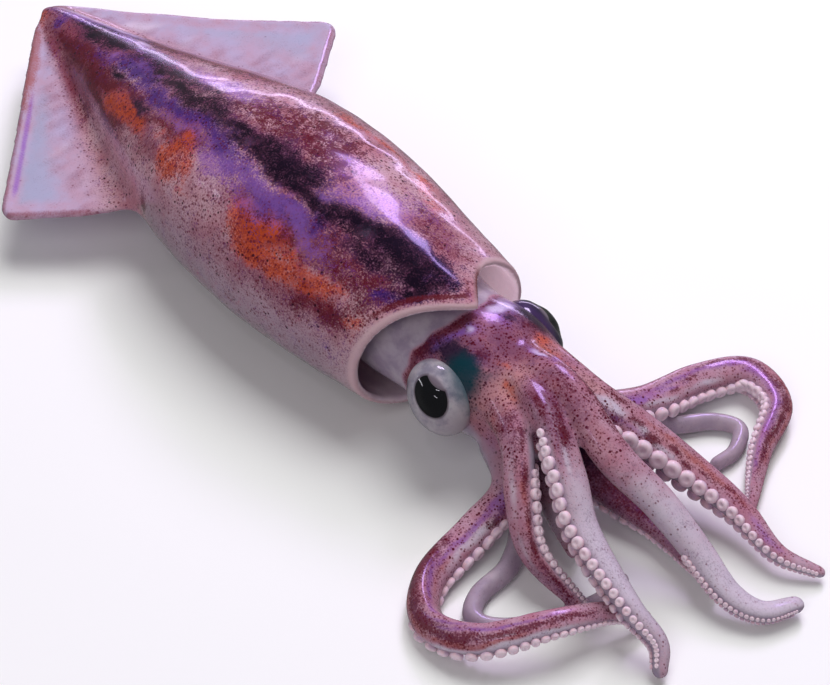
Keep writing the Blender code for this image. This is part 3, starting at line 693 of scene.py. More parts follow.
# Patches on each limb: (share along, degrees from the keel, half length as a share, half width, strength). The violet
# and lilac lines along the ridges of the limbs are partly their own colour and partly painted highlight.
limbPatches = {
    "armRightLoop": {
        "violet": (
            (0.20, 72, 0.05, 14, 0.7), (0.26, 74, 0.05, 12, 0.8), (0.31, 68, 0.04, 10, 0.9), (0.36, 54, 0.04, 10, 1.0),
            (0.42, 36, 0.04, 9, 1.0), (0.47, 24, 0.04, 8, 1.0), (0.53, 10, 0.04, 7, 0.9), (0.58, -16, 0.04, 7, 0.9),
            (0.63, -34, 0.05, 7, 0.9), (0.70, -44, 0.06, 6, 0.9), (0.78, -46, 0.06, 6, 0.7),
        ),
        "lilac": ((0.18, 90, 0.05, 26, 0.7), (0.30, 82, 0.05, 7, 0.7), (0.66, -40, 0.12, 5, 0.6)),
        "maroon": (
            (0.22, 108, 0.04, 18, 0.9), (0.34, 22, 0.05, 26, 0.8), (0.40, -2, 0.05, 30, 1.0), (0.46, -24, 0.06, 30, 1.0),
            (0.53, -44, 0.06, 32, 1.0), (0.60, -66, 0.06, 22, 1.0), (0.67, -74, 0.06, 18, 0.9),
            (0.75, -72, 0.05, 18, 1.0), (0.83, -70, 0.06, 20, 0.9), (0.92, -70, 0.05, 26, 0.7),
            (0.40, 66, 0.05, 16, 0.6),
        ),
        "orange": (
            (0.50, -72, 0.06, 18, 0.9), (0.58, -92, 0.06, 12, 0.9), (0.66, -98, 0.06, 10, 0.8),
            (0.38, 74, 0.04, 14, 0.6), (0.45, 52, 0.04, 12, 0.5), (0.74, -92, 0.05, 8, 0.7),
        ),
        # The narrow pale streak at share 0.70 is a painted highlight.
        "pale": (
            (0.27, 104, 0.06, 20, 0.8), (0.34, 92, 0.05, 18, 0.6), (0.62, -124, 0.1, 16, 1.0),
            (0.76, -118, 0.12, 16, 0.9), (0.70, -84, 0.03, 6, 0.9),
        ),
    },
    "armRightInner": {
        "maroon": (
            (0.14, 70, 0.10, 44, 0.6), (0.26, 108, 0.06, 18, 0.9), (0.40, 112, 0.07, 16, 0.95),
            (0.34, 72, 0.05, 14, 0.7), (0.55, 114, 0.06, 15, 0.9), (0.69, 108, 0.08, 20, 1.0), (0.84, 100, 0.08, 22, 0.9),
            (0.92, 70, 0.08, 40, 0.6),
        ),
        "orange": ((0.46, 100, 0.06, 12, 0.9), (0.58, 104, 0.06, 10, 0.7), (0.10, 80, 0.06, 30, 0.5)),
        "pale": ((0.44, 56, 0.16, 22, 0.55), (0.72, 56, 0.12, 18, 0.5)),
        "wine": ((0.2, 60, 0.16, 60, 0.55), (0.9, 70, 0.14, 60, 0.7)),
    },
    "armMiddle": {
        "wine": ((0.14, -90, 0.16, 90, 0.95), (0.26, -90, 0.05, 60, 0.6)),
        "maroon": (
            (0.27, -66, 0.04, 34, 1.0), (0.10, -100, 0.08, 30, 0.7), (0.14, -124, 0.06, 24, 0.7), (0.20, -56, 0.05, 16, 0.8),
            (0.22, -118, 0.03, 12, 0.6),
        ),
        # The narrow pale streaks along the ridge near the root are painted highlights; the wide pale stretch is the
        # arm's paler outer part.
        "pale": (
            (0.68, -60, 0.34, 150, 1.0), (0.13, -96, 0.05, 5, 0.5), (0.21, -90, 0.06, 5, 0.6), (0.34, -88, 0.06, 8, 0.7),
        ),
    },
    "armTop": {
        "wine": ((0.08, -60, 0.08, 90, 0.8), (0.22, -86, 0.13, 60, 0.75)),
        "warm": ((0.16, -90, 0.10, 70, 0.6), (0.30, -86, 0.10, 60, 0.5)),
        "maroon": (
            (0.10, -80, 0.05, 30, 0.5), (0.24, -8, 0.16, 14, 0.8), (0.28, -164, 0.14, 14, 0.9),
            (0.18, -60, 0.04, 14, 0.5),
        ),
        "orange": ((0.10, -90, 0.06, 30, 0.5),),
        "pale": ((0.86, -90, 0.36, 200, 1.0), (0.56, -90, 0.10, 70, 0.6)),
    },
    "armLeftOuter": {
        "warm": ((0.16, -60, 0.10, 40, 0.9), (0.50, -70, 0.16, 40, 0.6)),
        "wine": ((0.14, -100, 0.06, 30, 0.3), (0.72, -70, 0.08, 50, 0.4)),
        "maroon": (
            (0.14, -46, 0.07, 22, 0.5), (0.24, -40, 0.06, 16, 0.6), (0.26, -102, 0.03, 18, 0.9), (0.33, -72, 0.03, 16, 0.9),
            (0.40, -92, 0.035, 24, 1.0), (0.47, -76, 0.03, 14, 0.9), (0.52, -98, 0.03, 14, 0.8),
            (0.60, -84, 0.03, 18, 0.7), (0.68, -60, 0.04, 20, 0.7),
        ),
        "orange": (
            (0.36, -44, 0.05, 12, 0.5), (0.45, -50, 0.06, 16, 0.6), (0.54, -58, 0.07, 18, 0.75),
            (0.63, -62, 0.07, 20, 0.75), (0.72, -60, 0.07, 20, 0.6),
        ),
        "pale": ((0.25, -78, 0.05, 22, 0.9), (0.36, -84, 0.03, 16, 0.9), (0.44, -104, 0.04, 12, 0.7),
                 (0.94, -90, 0.08, 120, 0.5)),
        "lilac": ((0.82, -80, 0.06, 30, 0.6), (0.3, -98, 0.1, 10, 0.4)),
    },
    "armLeftLoop": {
        "violet": (
            (0.24, -70, 0.05, 14, 0.7), (0.31, -56, 0.05, 10, 0.9), (0.38, -44, 0.05, 10, 0.9),
            (0.46, -38, 0.05, 10, 0.9), (0.54, -46, 0.04, 12, 0.9), (0.60, -74, 0.04, 16, 0.9),
            (0.66, -94, 0.04, 18, 1.0), (0.73, -96, 0.05, 20, 1.0), (0.80, -104, 0.05, 20, 1.0), (0.88, -110, 0.05, 18, 0.7),
        ),
        "lilac": ((0.25, -86, 0.05, 14, 1.0), (0.34, -72, 0.06, 8, 0.7)),
        "maroon": (
            (0.15, -90, 0.05, 40, 0.8), (0.36, -84, 0.025, 12, 0.7), (0.42, -62, 0.03, 16, 0.9),
            (0.50, -30, 0.05, 16, 0.7), (0.57, -36, 0.04, 20, 0.8), (0.63, -60, 0.04, 20, 0.8),
            (0.70, -44, 0.05, 28, 1.0), (0.76, -54, 0.05, 24, 1.0), (0.83, -68, 0.04, 24, 1.0), (0.91, -80, 0.04, 30, 0.7),
        ),
        "orange": ((0.66, -26, 0.05, 14, 0.7), (0.74, -20, 0.06, 14, 0.8), (0.85, -40, 0.05, 18, 0.7)),
        "pale": ((0.46, -98, 0.08, 14, 0.7), (0.30, -106, 0.06, 12, 0.6), (0.79, -68, 0.03, 5, 0.9)),
    },
    "armLowLeft": {
        "wine": ((0.5, 0, 0.5, 180, 1.0),),
        "maroon": ((0.3, 0, 0.2, 120, 0.9), (0.62, -30, 0.16, 50, 0.9)),
        "dark": ((0.2, 0, 0.22, 150, 0.8),),
        "lilac": ((0.8, -45, 0.2, 40, 0.5),),
    },
    "armLowRight": {"dark": ((0.2, 0, 0.3, 150, 0.8),), "pale": ((0.8, 0, 0.2, 180, 0.6),)},
    "tentacleLeft": {"pale": ((0.5, 0, 0.7, 400, 0.55),), "lilac": ((0.4, -60, 0.3, 30, 0.4),)},
    "tentacleRight": {"pale": ((0.5, 0, 0.7, 400, 0.55),), "lilac": ((0.4, 30, 0.3, 30, 0.4),)},
}


def limbPlace(points):
    # for each point: the nearest limb, its share along it, its signed angle from the keel and its closeness
    frames = {name: limbFrames(limb) for name, limb in limbs.items()}
    names = list(frames)
    starts = np.cumsum([0] + [len(frames[name][0]) for name in names])
    path, tangents, oral, across, radius = (np.concatenate(parts) for parts in zip(*frames.values()))
    tree = kdtree.KDTree(len(path))
    for number, place in enumerate(path):
        tree.insert(place, number)
    tree.balance()
    found = [tree.find(point) for point in points]
    nearest = np.array([hit[1] for hit in found])
    distance = np.array([hit[2] for hit in found])
    limbNumber = np.searchsorted(starts, nearest, side="right") - 1
    counts = np.diff(starts)[limbNumber]
    share = (nearest - starts[limbNumber]) / (counts - 1)
    offset = points - path[nearest]
    turn = np.degrees(np.arctan2(np.sum(offset * across[nearest], axis=1), -np.sum(offset * oral[nearest], axis=1)))
    return names, limbNumber, share, turn, distance / radius[nearest]


def paintHead(piece):
    points = pointsOf(piece)
    names, limbNumber, share, turn, closeness = limbPlace(points)
    middleY, middleZ = (np.interp(points[:, 0], headRows[:, 0], headRows[:, column]) for column in (3, 4))
    degrees = np.degrees(np.arctan2(points[:, 1] - middleY, points[:, 2] - middleZ))
    onLimb = smoothStep((points[:, 0] - 118) / 10) * smoothStep((1.75 - closeness) / 0.4)
    onHead = 1 - onLimb
    warpAlong = points[:, 0] + 0.7 * softNoise(points, 10, 41) + 0.3 * softNoise(points, 4, 42)
    warpTurn = degrees + 2.4 * softNoise(points, 10, 43) + 1.2 * softNoise(points, 4, 44)
    napeEdge = 88 + 5.4 * np.exp(-((degrees / 45) ** 2)) + 0.4 * softNoise(points, 8, 45)
    neck = smoothStep((napeEdge - points[:, 0]) / 1.4)
    belowEye = 18 * np.exp(-(((points[:, 0] - 110) / 5) ** 2)) * (degrees < 0)
    under = smoothStep((np.abs(degrees) + belowEye - 96) / 24)
    limbWarp = share + 0.012 * softNoise(points, 12, 46) + 0.006 * softNoise(points, 5, 47)
    turnWarp = turn + 5 * softNoise(points, 10, 48)
    suckersFrom = np.array([limbs[name].get("suckersFrom", 0.2) for name in names])[limbNumber]
    suckerSide = smoothStep((np.abs(turn) - 114) / 22) * smoothStep((share - suckersFrom) / 0.12)
    smooth = np.array([limbs[name]["suckers"] == 0 for name in names])[limbNumber]
    suckerSide = np.maximum(suckerSide, 0.75 * smooth)
    for name in ("wine", "violet", "lilac", "dark", "teal", "maroon", "orange", "pale", "warm", "paintedHighlight"):
        mask = patchesAt(headPatches.get(name, ()), warpAlong, warpTurn) * onHead * (1 - neck) * (1 - 0.9 * under)
        for number, limbName in enumerate(names):
            mine = limbNumber == number
            patches = limbPatches[limbName].get(name, ())
            mask[mine] += onLimb[mine] * patchesAt(patches, limbWarp[mine], turnWarp[mine])
        if name != "pale":
            mask *= 1 - 0.85 * suckerSide * onLimb
        writeMask(piece, name, mask)
    writeMask(piece, "neck", neck)
    writeMask(piece, "under", under * onHead)
    writeMask(piece, "suckerSide", suckerSide * onLimb)
    writeMask(piece, "onLimb", onLimb)
    writeMask(piece, "darkEdge", np.exp(-(((points[:, 0] - napeEdge - 1.4) / 1.6) ** 2)) * (1 - neck) * (1 - under))
    writeMask(piece, "bigDots", onHead * (1 - neck) * (1 - under) + onLimb * smoothStep((0.44 - share) / 0.2))


headSkin = makeHead()
paintHead(headSkin)
print("head skin made:", len(headSkin.data.vertices), "points")


# ---- suckers ----

sucker = {
    # the outline of one sucker, as shares of its radius: how far out, how high
    "outline": (
        (0.50, -0.70), (0.78, -0.35), (0.96, 0.0), (1.0, 0.25), (0.95, 0.50), (0.82, 0.68), (0.62, 0.78),
        (0.44, 0.78), (0.33, 0.74), (0.25, 0.67), (0.17, 0.63), (0.06, 0.62),
    ),
    "sides": 16,
    "packing": 1.9,
    "smallest": 0.45,
    "sink": 0.0,
}


def suckerShape(centre, outwards, tangent, size, rng):
    outwards = unit(outwards + rng.normal(0, 0.06, 3))
    sideways = unit(np.cross(outwards, tangent))
    along = np.cross(sideways, outwards)
    angles = np.linspace(0, 2 * math.pi, sucker["sides"], endpoint=False)
    squeeze = 1 + rng.normal(0, 0.04)
    rings = []
    for out, high in sucker["outline"]:
        flat = np.outer(np.cos(angles), along) * squeeze - np.outer(np.sin(angles), sideways) / squeeze
        rings.append(centre + size * (out * flat + high * outwards))
    return loft(rings)


def makeSuckers():
    rng = np.random.default_rng(21)
    shapes, depths = [], []
    for limb in limbs.values():
        if not limb["suckers"]:
            continue
        path, tangents, oral, across, radius = limbFrames(limb)
        along = np.arange(len(path)) * limbSection["spacing"]
        for row in (1, -1):
            place = max(24, limb.get("suckersFrom", 0) * along[-1]) + (row > 0) * radius[0] * limb["suckers"]
            while place < along[-1] - 0.5:
                centre, tangent, side, sideways = (
                    np.array([np.interp(place, along, column) for column in values.T])
                    for values in (path, tangents, oral, across)
                )
                reach = np.interp(place, along, radius)
                thin = 1 - 0.3 * smoothStep((place / along[-1] - 0.6) / 0.4)
                thin *= 0.6 + 0.4 * smoothStep((place - 22) / 12)
                size = max(reach * limb["suckers"] * thin, sucker["smallest"]) * (1 + rng.normal(0, 0.03))
                turn = math.radians(limb.get("rowAngle", limbSection["rowAngle"]))
                outwards = -math.cos(turn) * side + row * math.sin(turn) * sideways
                base = centre + outwards * (reach * (1 + limbSection["keel"] / 2) - sucker["sink"] * size)
                if base[2] > size * 0.8:
                    shapes.append(suckerShape(base, outwards, tangent, size, rng))
                    depths += list(np.repeat([high for _, high in sucker["outline"]], sucker["sides"])) + [-1, 0.25]
                place += sucker["packing"] * size
    piece = newMesh("suckers", *joined(shapes))
    writeMask(piece, "suckerHeight", depths)
    print("suckers made:", len(shapes))
    return piece


suckers = makeSuckers()


# ---- eyes ----

eyes = {
    "radii": (11.3, 8.9, 8.0),  # long way, across, depth
    "right": {"centre": (101.2, -16.7, 29), "looks": (0.36, -0.74, 0.57), "longWay": (-0.78, 0.06, 0.62)},
    "left": {"centre": (98.5, 19.5, 27), "looks": (0.25, 0.88, 0.40), "longWay": (-0.80, 0.05, 0.60)},
    "rings": 110,
    "sides": 150,
    "pupil": {"centre": (1.2, 0.3), "radii": (6.1, 4.4)},
    "flap": {"centre": (6.9, 9.9), "radius": 8.0},
}


def makeEye(side):
    eye = eyes[side]
    hand = 1 if side == "right" else -1
    looks = unit(eye["looks"])
    longWay = unit(np.array(eye["longWay"]) - looks * np.dot(eye["longWay"], looks))
    across = np.cross(looks, longWay) * -hand  # towards the snout
    sizes = np.array(eyes["radii"])
    rings = []
    for tilt in np.linspace(0.004, math.pi - 0.004, eyes["rings"]):
        turns = np.linspace(0, 2 * math.pi, eyes["sides"], endpoint=False) * -hand
        flat = np.stack([np.cos(turns) * math.sin(tilt), np.sin(turns) * math.sin(tilt)], axis=1) * sizes[:2]
        rings.append(np.hstack([flat, np.full((len(flat), 1), math.cos(tilt) * sizes[2])]))
    local, faces = loft(rings)
    # the pupil: an oval less a round flap, its edge distance positive inside
    longSize, acrossSize = eyes["pupil"]["radii"]
    fromMiddle = (local[:, :2] - eyes["pupil"]["centre"]) / (longSize, acrossSize)
    oval = (1 - np.hypot(fromMiddle[:, 0], fromMiddle[:, 1])) * acrossSize
    flap = np.hypot(local[:, 0] - eyes["flap"]["centre"][0], local[:, 1] - eyes["flap"]["centre"][1])
    flap -= eyes["flap"]["radius"]
    pupil = np.where(local[:, 2] > 0, np.minimum(oval, flap), -5)
    height = 0.14 * smoothStep(-pupil / 1.0) * smoothStep((pupil + 4) / 4)
    height += 0.55 * smoothStep((pupil - 0.2) / 3.0)
    normals = local / sizes**2
    normals /= np.linalg.norm(normals, axis=1)[:, None]
    local = local + normals * height[:, None]
    turned = local @ np.array([longWay, across, looks])
    piece = newMesh("eye" + side.capitalize(), turned + eye["centre"], faces)
    writeMask(piece, "pupil", pupil)
    writeMask(piece, "acrossEye", local[:, 1] / sizes[1])
    writeMask(piece, "alongEye", local[:, 0] / sizes[0])
    writeMask(piece, "outOfHead", local[:, 2] / sizes[2])
    writeMask(piece, "lid", smoothStep((oval + 0.8) / 1.2) * smoothStep((0.1 - flap) / 0.5) * (local[:, 2] > 0))
    # the far eye is mostly covered by skin from above
    facesUp = (normals @ np.array([longWay, across, looks]))[:, 2]
    writeMask(piece, "skinCap", smoothStep((facesUp - 0.02) / 0.3) * (side == "left"))
    made = pointsOf(piece)
    writeMask(piece, "headSide", smoothStep((24.5 - made[:, 1]) / 5) * smoothStep((made[:, 2] - 26) / 5) * (side == "left"))
    return piece


eyePieces = {side: makeEye(side) for side in ("right", "left")}
print("eyes made")


# ---- materials ----

def fillInputs(tree, node, inputs):
    for name, value in inputs.items():
        socket = node.inputs[name]
        if isinstance(value, bpy.types.NodeSocket):
            tree.links.new(value, socket)
        else:
            socket.default_value = value
    return node


def addNode(tree, kind, inputs, **settings):
    node = tree.nodes.new("ShaderNode" + kind)
    for name, value in settings.items():
        setattr(node, name, value)
    return fillInputs(tree, node, inputs)


def maths(tree, operation, *values):
    return addNode(tree, "Math", dict(enumerate(values)), operation=operation).outputs[0]


def stepBetween(tree, value, low, high, top=1.0):
    inputs = {"Value": value, "From Min": low, "From Max": high, "To Min": 0.0, "To Max": top}
    return addNode(tree, "MapRange", inputs, interpolation_type="SMOOTHSTEP").outputs["Result"]


def mixColours(tree, share, first, second, blend="MIX"):
    node = addNode(tree, "Mix", {}, data_type="RGBA", blend_type=blend)
    fillInputs(tree, node, {0: share, 6: first, 7: second})
    return node.outputs[2]


def maskOf(tree, name):
    return addNode(tree, "Attribute", {}, attribute_name=name).outputs["Fac"]


def newGroup(name, inputs, output):
    group = bpy.data.node_groups.new(name, "ShaderNodeTree")
    for label, kind, value in inputs:
        socket = group.interface.new_socket(name=label, in_out="INPUT", socket_type="NodeSocket" + kind)
        if value is not None:
            socket.default_value = value
    group.interface.new_socket(name=output, in_out="OUTPUT", socket_type="NodeSocketFloat")
    start = group.nodes.new("NodeGroupInput").outputs
    return group, start, group.nodes.new("NodeGroupOutput").inputs[output]


def makeDotsGroup():
    # scattered round dots of many sizes, denser and larger where Amount is high
    group, start, end = newGroup("pigment dots", (
        ("Vector", "Vector", None), ("Dots per metre", "Float", 800), ("Amount", "Float", 0.5),
        ("Size", "Float", 0.3), ("Softness", "Float", 0.08),
    ), "Dots")
    cells = addNode(group, "TexVoronoi", {"Vector": start["Vector"], "Scale": start["Dots per metre"]})
    chance = addNode(group, "SeparateColor", {"Color": cells.outputs["Color"]}).outputs
    grown = maths(group, "MULTIPLY", start["Size"], maths(group, "MULTIPLY_ADD", chance[0], 0.9, 0.35))
    shown = stepBetween(group, maths(group, "SUBTRACT", start["Amount"], chance[1]), -0.1, 0.1)
    radius = maths(group, "MULTIPLY", grown, shown)
    outside = maths(group, "SUBTRACT", cells.outputs["Distance"], radius)
    soft = maths(group, "MULTIPLY", start["Softness"], -1.0)
    group.links.new(maths(group, "MULTIPLY", stepBetween(group, outside, start["Softness"], soft), shown), end)
    return group


def makePatchGroup():
    # a painted mask with its edge broken up by cloudy noise and by fine grain
    group, start, end = newGroup("broken patch", (
        ("Vector", "Vector", None), ("Mask", "Float", 0), ("Grain", "Float", 0.5), ("Scale", "Float", 200),
        ("Breakup", "Float", 0.5), ("Stipple", "Float", 0.4), ("Softness", "Float", 0.2), ("Level", "Float", 0.5),
    ), "Patch")
    clouds = addNode(group, "TexNoise", {
        "Vector": start["Vector"], "Scale": start["Scale"], "Detail": 7.0, "Roughness": 0.68, "Distortion": 0.5,
    })
    centred = maths(group, "SUBTRACT", clouds.outputs["Fac"], 0.5)
    value = maths(group, "MULTIPLY_ADD", centred, start["Breakup"], start["Mask"])
    grain = maths(group, "SUBTRACT", start["Grain"], 0.5)
    value = maths(group, "MULTIPLY_ADD", grain, start["Stipple"], value)
    low = maths(group, "SUBTRACT", start["Level"], start["Softness"])
    high = maths(group, "ADD", start["Level"], start["Softness"])
    group.links.new(stepBetween(group, value, low, high), end)
    return group


def makeReliefGroup():
    # the height of wet skin: soft swells, fine pores and slightly raised dots
    group, start, end = newGroup("skin relief", (
        ("Vector", "Vector", None), ("Swells", "Float", 0.5), ("Pores", "Float", 0.2), ("Dots", "Float", 0),
        ("Raised", "Float", 0.1),
    ), "Height")
    swells = addNode(group, "TexNoise", {"Vector": start["Vector"], "Scale": 170.0, "Detail": 3.0})
    pores = addNode(group, "TexNoise", {"Vector": start["Vector"], "Scale": 1500.0, "Detail": 2.0})
    height = maths(group, "MULTIPLY", swells.outputs["Fac"], start["Swells"])
    height = maths(group, "MULTIPLY_ADD", pores.outputs["Fac"], start["Pores"], height)
    group.links.new(maths(group, "MULTIPLY_ADD", start["Dots"], start["Raised"], height), end)
    return group


dotsGroup = makeDotsGroup()
patchGroup = makePatchGroup()
reliefGroup = makeReliefGroup()


def placeGroup(tree, group, **inputs):
    node = tree.nodes.new("ShaderNodeGroup")
    node.node_tree = group
    named = {name.replace("_", " "): value for name, value in inputs.items()}
    return fillInputs(tree, node, named).outputs[0]


def newMaterial(name, finish):
    material = bpy.data.materials.new(name)
    material.use_nodes = True
    shader = material.node_tree.nodes["Principled BSDF"]
    for label, value in finish.items():
        shader.inputs[label].default_value = value
    where = addNode(material.node_tree, "TexCoord", {}).outputs["Object"]
    return material, material.node_tree, shader, where


def tone(red, green, blue):
    # a colour as an 8-bit screen value, made linear
    return tuple(((part / 255 + 0.055) / 1.055) ** 2.4 if part > 10 else part / 255 / 12.92
                 for part in (red, green, blue)) + (1.0,)


tones = {
    "pale": tone(198, 160, 172),
    "pink": tone(176, 116, 130),
    "grey": tone(158, 134, 148),
    "orange": tone(206, 84, 26),
    "rust": tone(122, 24, 10),
    "maroon": tone(86, 8, 18),
    "wine": tone(116, 34, 56),
    "plum": tone(92, 44, 80),
    "violet": tone(94, 52, 156),
    "deepViolet": tone(54, 28, 100),
    "lilac": tone(146, 98, 180),
    "ink": tone(14, 6, 18),
    "inkBrown": tone(46, 20, 34),
    "dot": tone(96, 12, 28),
    "darkDot": tone(44, 4, 14),
    "rim": tone(198, 164, 172),
    "wall": tone(234, 214, 222),
    "fin": tone(182, 166, 196),
    "finPink": tone(186, 152, 174),
    "finCool": tone(164, 166, 194),
    "finWhite": tone(218, 204, 224),
    "rustPink": tone(158, 76, 60),
    "edgeLine": tone(96, 26, 30),
    "ridgeViolet": tone(134, 80, 152),
    "headDot": tone(84, 10, 28),
    "tealPale": tone(58, 84, 94),
    "headPlum": tone(104, 54, 84),
    "paintedHighlight": tone(220, 198, 238),
    "salmonLight": tone(194, 142, 140),
    "inkNavy": tone(34, 20, 44),
    "eyeShade": tone(62, 40, 84),
    "headViolet": tone(130, 86, 180),
    "neckShade": tone(150, 134, 154),
    "wallShade": tone(210, 186, 200),
    "finEdge": tone(132, 58, 66),
    "neck": tone(178, 164, 178),
    "salmon": tone(174, 112, 120),
    "mauve": tone(156, 106, 132),
    "limb": tone(186, 146, 164),
    "limbPink": tone(172, 112, 130),
    "paleLimb": tone(204, 190, 206),
    "teal": tone(2, 56, 64),
    "sucker": tone(228, 190, 202),
    "suckerSide": tone(198, 174, 200),
    "suckerTop": tone(234, 210, 222),
    "suckerPit": tone(216, 172, 186),
    "eyeWhite": tone(174, 166, 174),
    "eyeGrey": tone(126, 120, 136),
    "lid": tone(112, 100, 112),
    "pupil": tone(2, 4, 5),
    "navy": tone(26, 20, 44),
    "olive": tone(64, 56, 66),
}
wetFinish = {
    "Coat Weight": 0.35, "Coat Roughness": 0.05, "Coat IOR": 1.35, "IOR": 1.42, "Specular Tint": tone(190, 150, 255),
    "Subsurface Weight": 0.06, "Subsurface Scale": 0.003, "Subsurface Radius": (1.0, 0.35, 0.3),
}


eyeFinish = {**wetFinish, "Coat Weight": 1.0, "Coat Roughness": 0.02, "Coat IOR": 1.5, "IOR": 1.2}


def finishSkin(tree, shader, height, strength, distance):
    bump = addNode(tree, "Bump", {"Height": height, "Strength": strength, "Distance": distance * mm})
    tree.links.new(bump.outputs["Normal"], shader.inputs["Normal"])


def less(tree, value, taken):
    return maths(tree, "MULTIPLY", value, maths(tree, "SUBTRACT", 1.0, taken))


def skinTools(name, maskNames, cloudScale):
    # what both skins start from: the material, its masks, clouds and grain, and a way to place a broken patch
    material, tree, shader, where = newMaterial(name, wetFinish)
    noise = {"Vector": where, "Scale": cloudScale, "Detail": 5.0, "Roughness": 0.62}
    clouds = addNode(tree, "TexNoise", noise).outputs["Fac"]
    grain = addNode(tree, "TexNoise", {"Vector": where, "Scale": 1900.0, "Detail": 1.0}).outputs["Fac"]
    masks = {mask: maskOf(tree, mask) for mask in maskNames}

    def patch(mask, scale, breakup, stipple, softness, level=0.5):
        mask = masks[mask] if isinstance(mask, str) else mask
        return placeGroup(tree, patchGroup, Vector=where, Mask=mask, Grain=grain, Scale=scale, Breakup=breakup,
                          Stipple=stipple, Softness=softness, Level=level)

    def paint(colour, share, over, strength=1.0):
        if strength < 1:
            share = maths(tree, "MULTIPLY", share, strength)
        return mixColours(tree, share, colour, tones[over])

    return material, tree, shader, where, clouds, grain, masks, patch, paint


def mantleMaterial():
    material, tree, shader, where, clouds, grain, masks, patch, paint = skinTools("mantle skin", (
        "wine", "violet", "lilac", "dark", "maroon", "orange", "lace", "edgeLine", "paleRim", "darkRim", "paintedHighlight", "insideWall",
        "finSkin", "finEdge", "finRoot", "finRimHighlight", "finCool", "finRust", "finStreak", "belly", "frontPale",
        "paintedGlow",
    ), 80.0)
    body = mixColours(tree, stepBetween(tree, clouds, 0.3, 0.7), tones["pink"], tones["pale"])
    body = paint(body, masks["belly"], "grey")
    body = paint(body, masks["frontPale"], "rim", 0.5)
    # how much pigment there is: most beside the patches, least on the belly
    pigment = maths(tree, "MULTIPLY_ADD", masks["wine"], 0.4, 0.56)
    for name, amount in (("orange", 0.3), ("violet", 0.2), ("belly", -0.32), ("finSkin", -0.56), ("frontPale", -0.2)):
        pigment = maths(tree, "MULTIPLY_ADD", masks[name], amount, pigment)
    pigment = maths(tree, "MULTIPLY_ADD", clouds, 0.5, maths(tree, "SUBTRACT", pigment, 0.25))
    pigment = less(tree, pigment, masks["paleRim"])
    fineDots = placeGroup(tree, dotsGroup, Vector=where, Dots_per_metre=1050.0, Amount=pigment, Size=0.4, Softness=0.12)
    amount = maths(tree, "MULTIPLY", pigment, 0.75)
    bigDots = placeGroup(tree, dotsGroup, Vector=where, Dots_per_metre=620.0, Amount=amount, Size=0.23, Softness=0.06)
    wine = patch("wine", 140.0, 1.0, 0.9, 0.42, 0.30)
    maroon = patch("maroon", 330.0, 1.6, 1.1, 0.4, 0.52)
    lace = patch("lace", 400.0, 3.2, 1.0, 0.28, 0.72)
    orange = patch("orange", 260.0, 1.7, 1.2, 0.45, 0.56)
    rust = patch("orange", 520.0, 1.6, 1.2, 0.4, 0.85)
    # violet and lilac are partly the skin's own colour and partly painted highlight and reflection along the top line
    violet = patch("violet", 210.0, 1.9, 1.4, 0.5, 0.56)
    deepViolet = patch("violet", 230.0, 1.6, 0.6, 0.4, 0.66)
    lilac = patch("lilac", 260.0, 1.3, 1.5, 0.4, 0.56)
    darkWide = patch("dark", 420.0, 2.0, 1.3, 0.4, 0.5)
    dark = patch("dark", 330.0, 1.7, 1.0, 0.36, 0.74)
    colour = paint(body, wine, "wine", 0.8)
    colour = paint(colour, maroon, "maroon", 0.9)
    colour = paint(colour, lace, "maroon", 0.88)
    colour = paint(colour, orange, "orange", 0.88)
    colour = paint(colour, rust, "rust", 0.6)
    colour = paint(colour, violet, "violet", 0.8)
    colour = paint(colour, deepViolet, "deepViolet", 0.6)
    colour = paint(colour, fineDots, "dot", 0.75)
    colour = paint(colour, bigDots, "darkDot", 0.9)
    colour = paint(colour, less(tree, patch("dark", 170.0, 1.2, 0.9, 0.4, 0.33), violet), "plum", 0.85)
    colour = paint(colour, darkWide, "inkBrown", 0.85)
    colour = paint(colour, lilac, "lilac", 0.6)
    colour = paint(colour, dark, "ink", 0.95)
    # painted highlight along the top of the tail half
    colour = paint(colour, patch("paintedHighlight", 90.0, 0.8, 0.2, 0.5, 0.55), "paintedHighlight", 0.85)
    fin = mixColours(tree, stepBetween(tree, clouds, 0.35, 0.7), tones["fin"], tones["finPink"])
    fin = paint(fin, patch("finCool", 60.0, 1.8, 0.2, 0.5, 0.5), "finCool", 0.85)
    fin = paint(fin, masks["finStreak"], "finWhite", 0.55)
    fin = paint(fin, patch("finRoot", 120.0, 0.8, 0.5, 0.4, 0.5), "wine", 0.4)
    fin = paint(fin, fineDots, "dot", 0.5)
    # painted highlight: a lilac line inside the rolled rim of the -Y fin
    fin = paint(fin, patch("finRimHighlight", 90.0, 0.6, 0.2, 0.4, 0.6), "lilac", 0.8)
    fin = paint(fin, patch("finEdge", 150.0, 0.8, 0.5, 0.4, 0.75), "finEdge", 0.7)
    fin = paint(fin, patch("finRust", 160.0, 1.6, 1.0, 0.5, 0.6), "rustPink", 0.65)
    colour = mixColours(tree, masks["finSkin"], colour, fin)
    colour = paint(colour, patch("edgeLine", 260.0, 1.6, 0.8, 0.3, 0.55), "edgeLine", 0.85)
    colour = paint(colour, masks["paleRim"], "rim")
    wall = mixColours(tree, stepBetween(tree, clouds, 0.34, 0.66), tones["wallShade"], tones["wall"])
    colour = mixColours(tree, masks["insideWall"], colour, wall)
    colour = paint(colour, masks["darkRim"], "edgeLine", 0.9)
    tree.links.new(colour, shader.inputs["Base Color"])
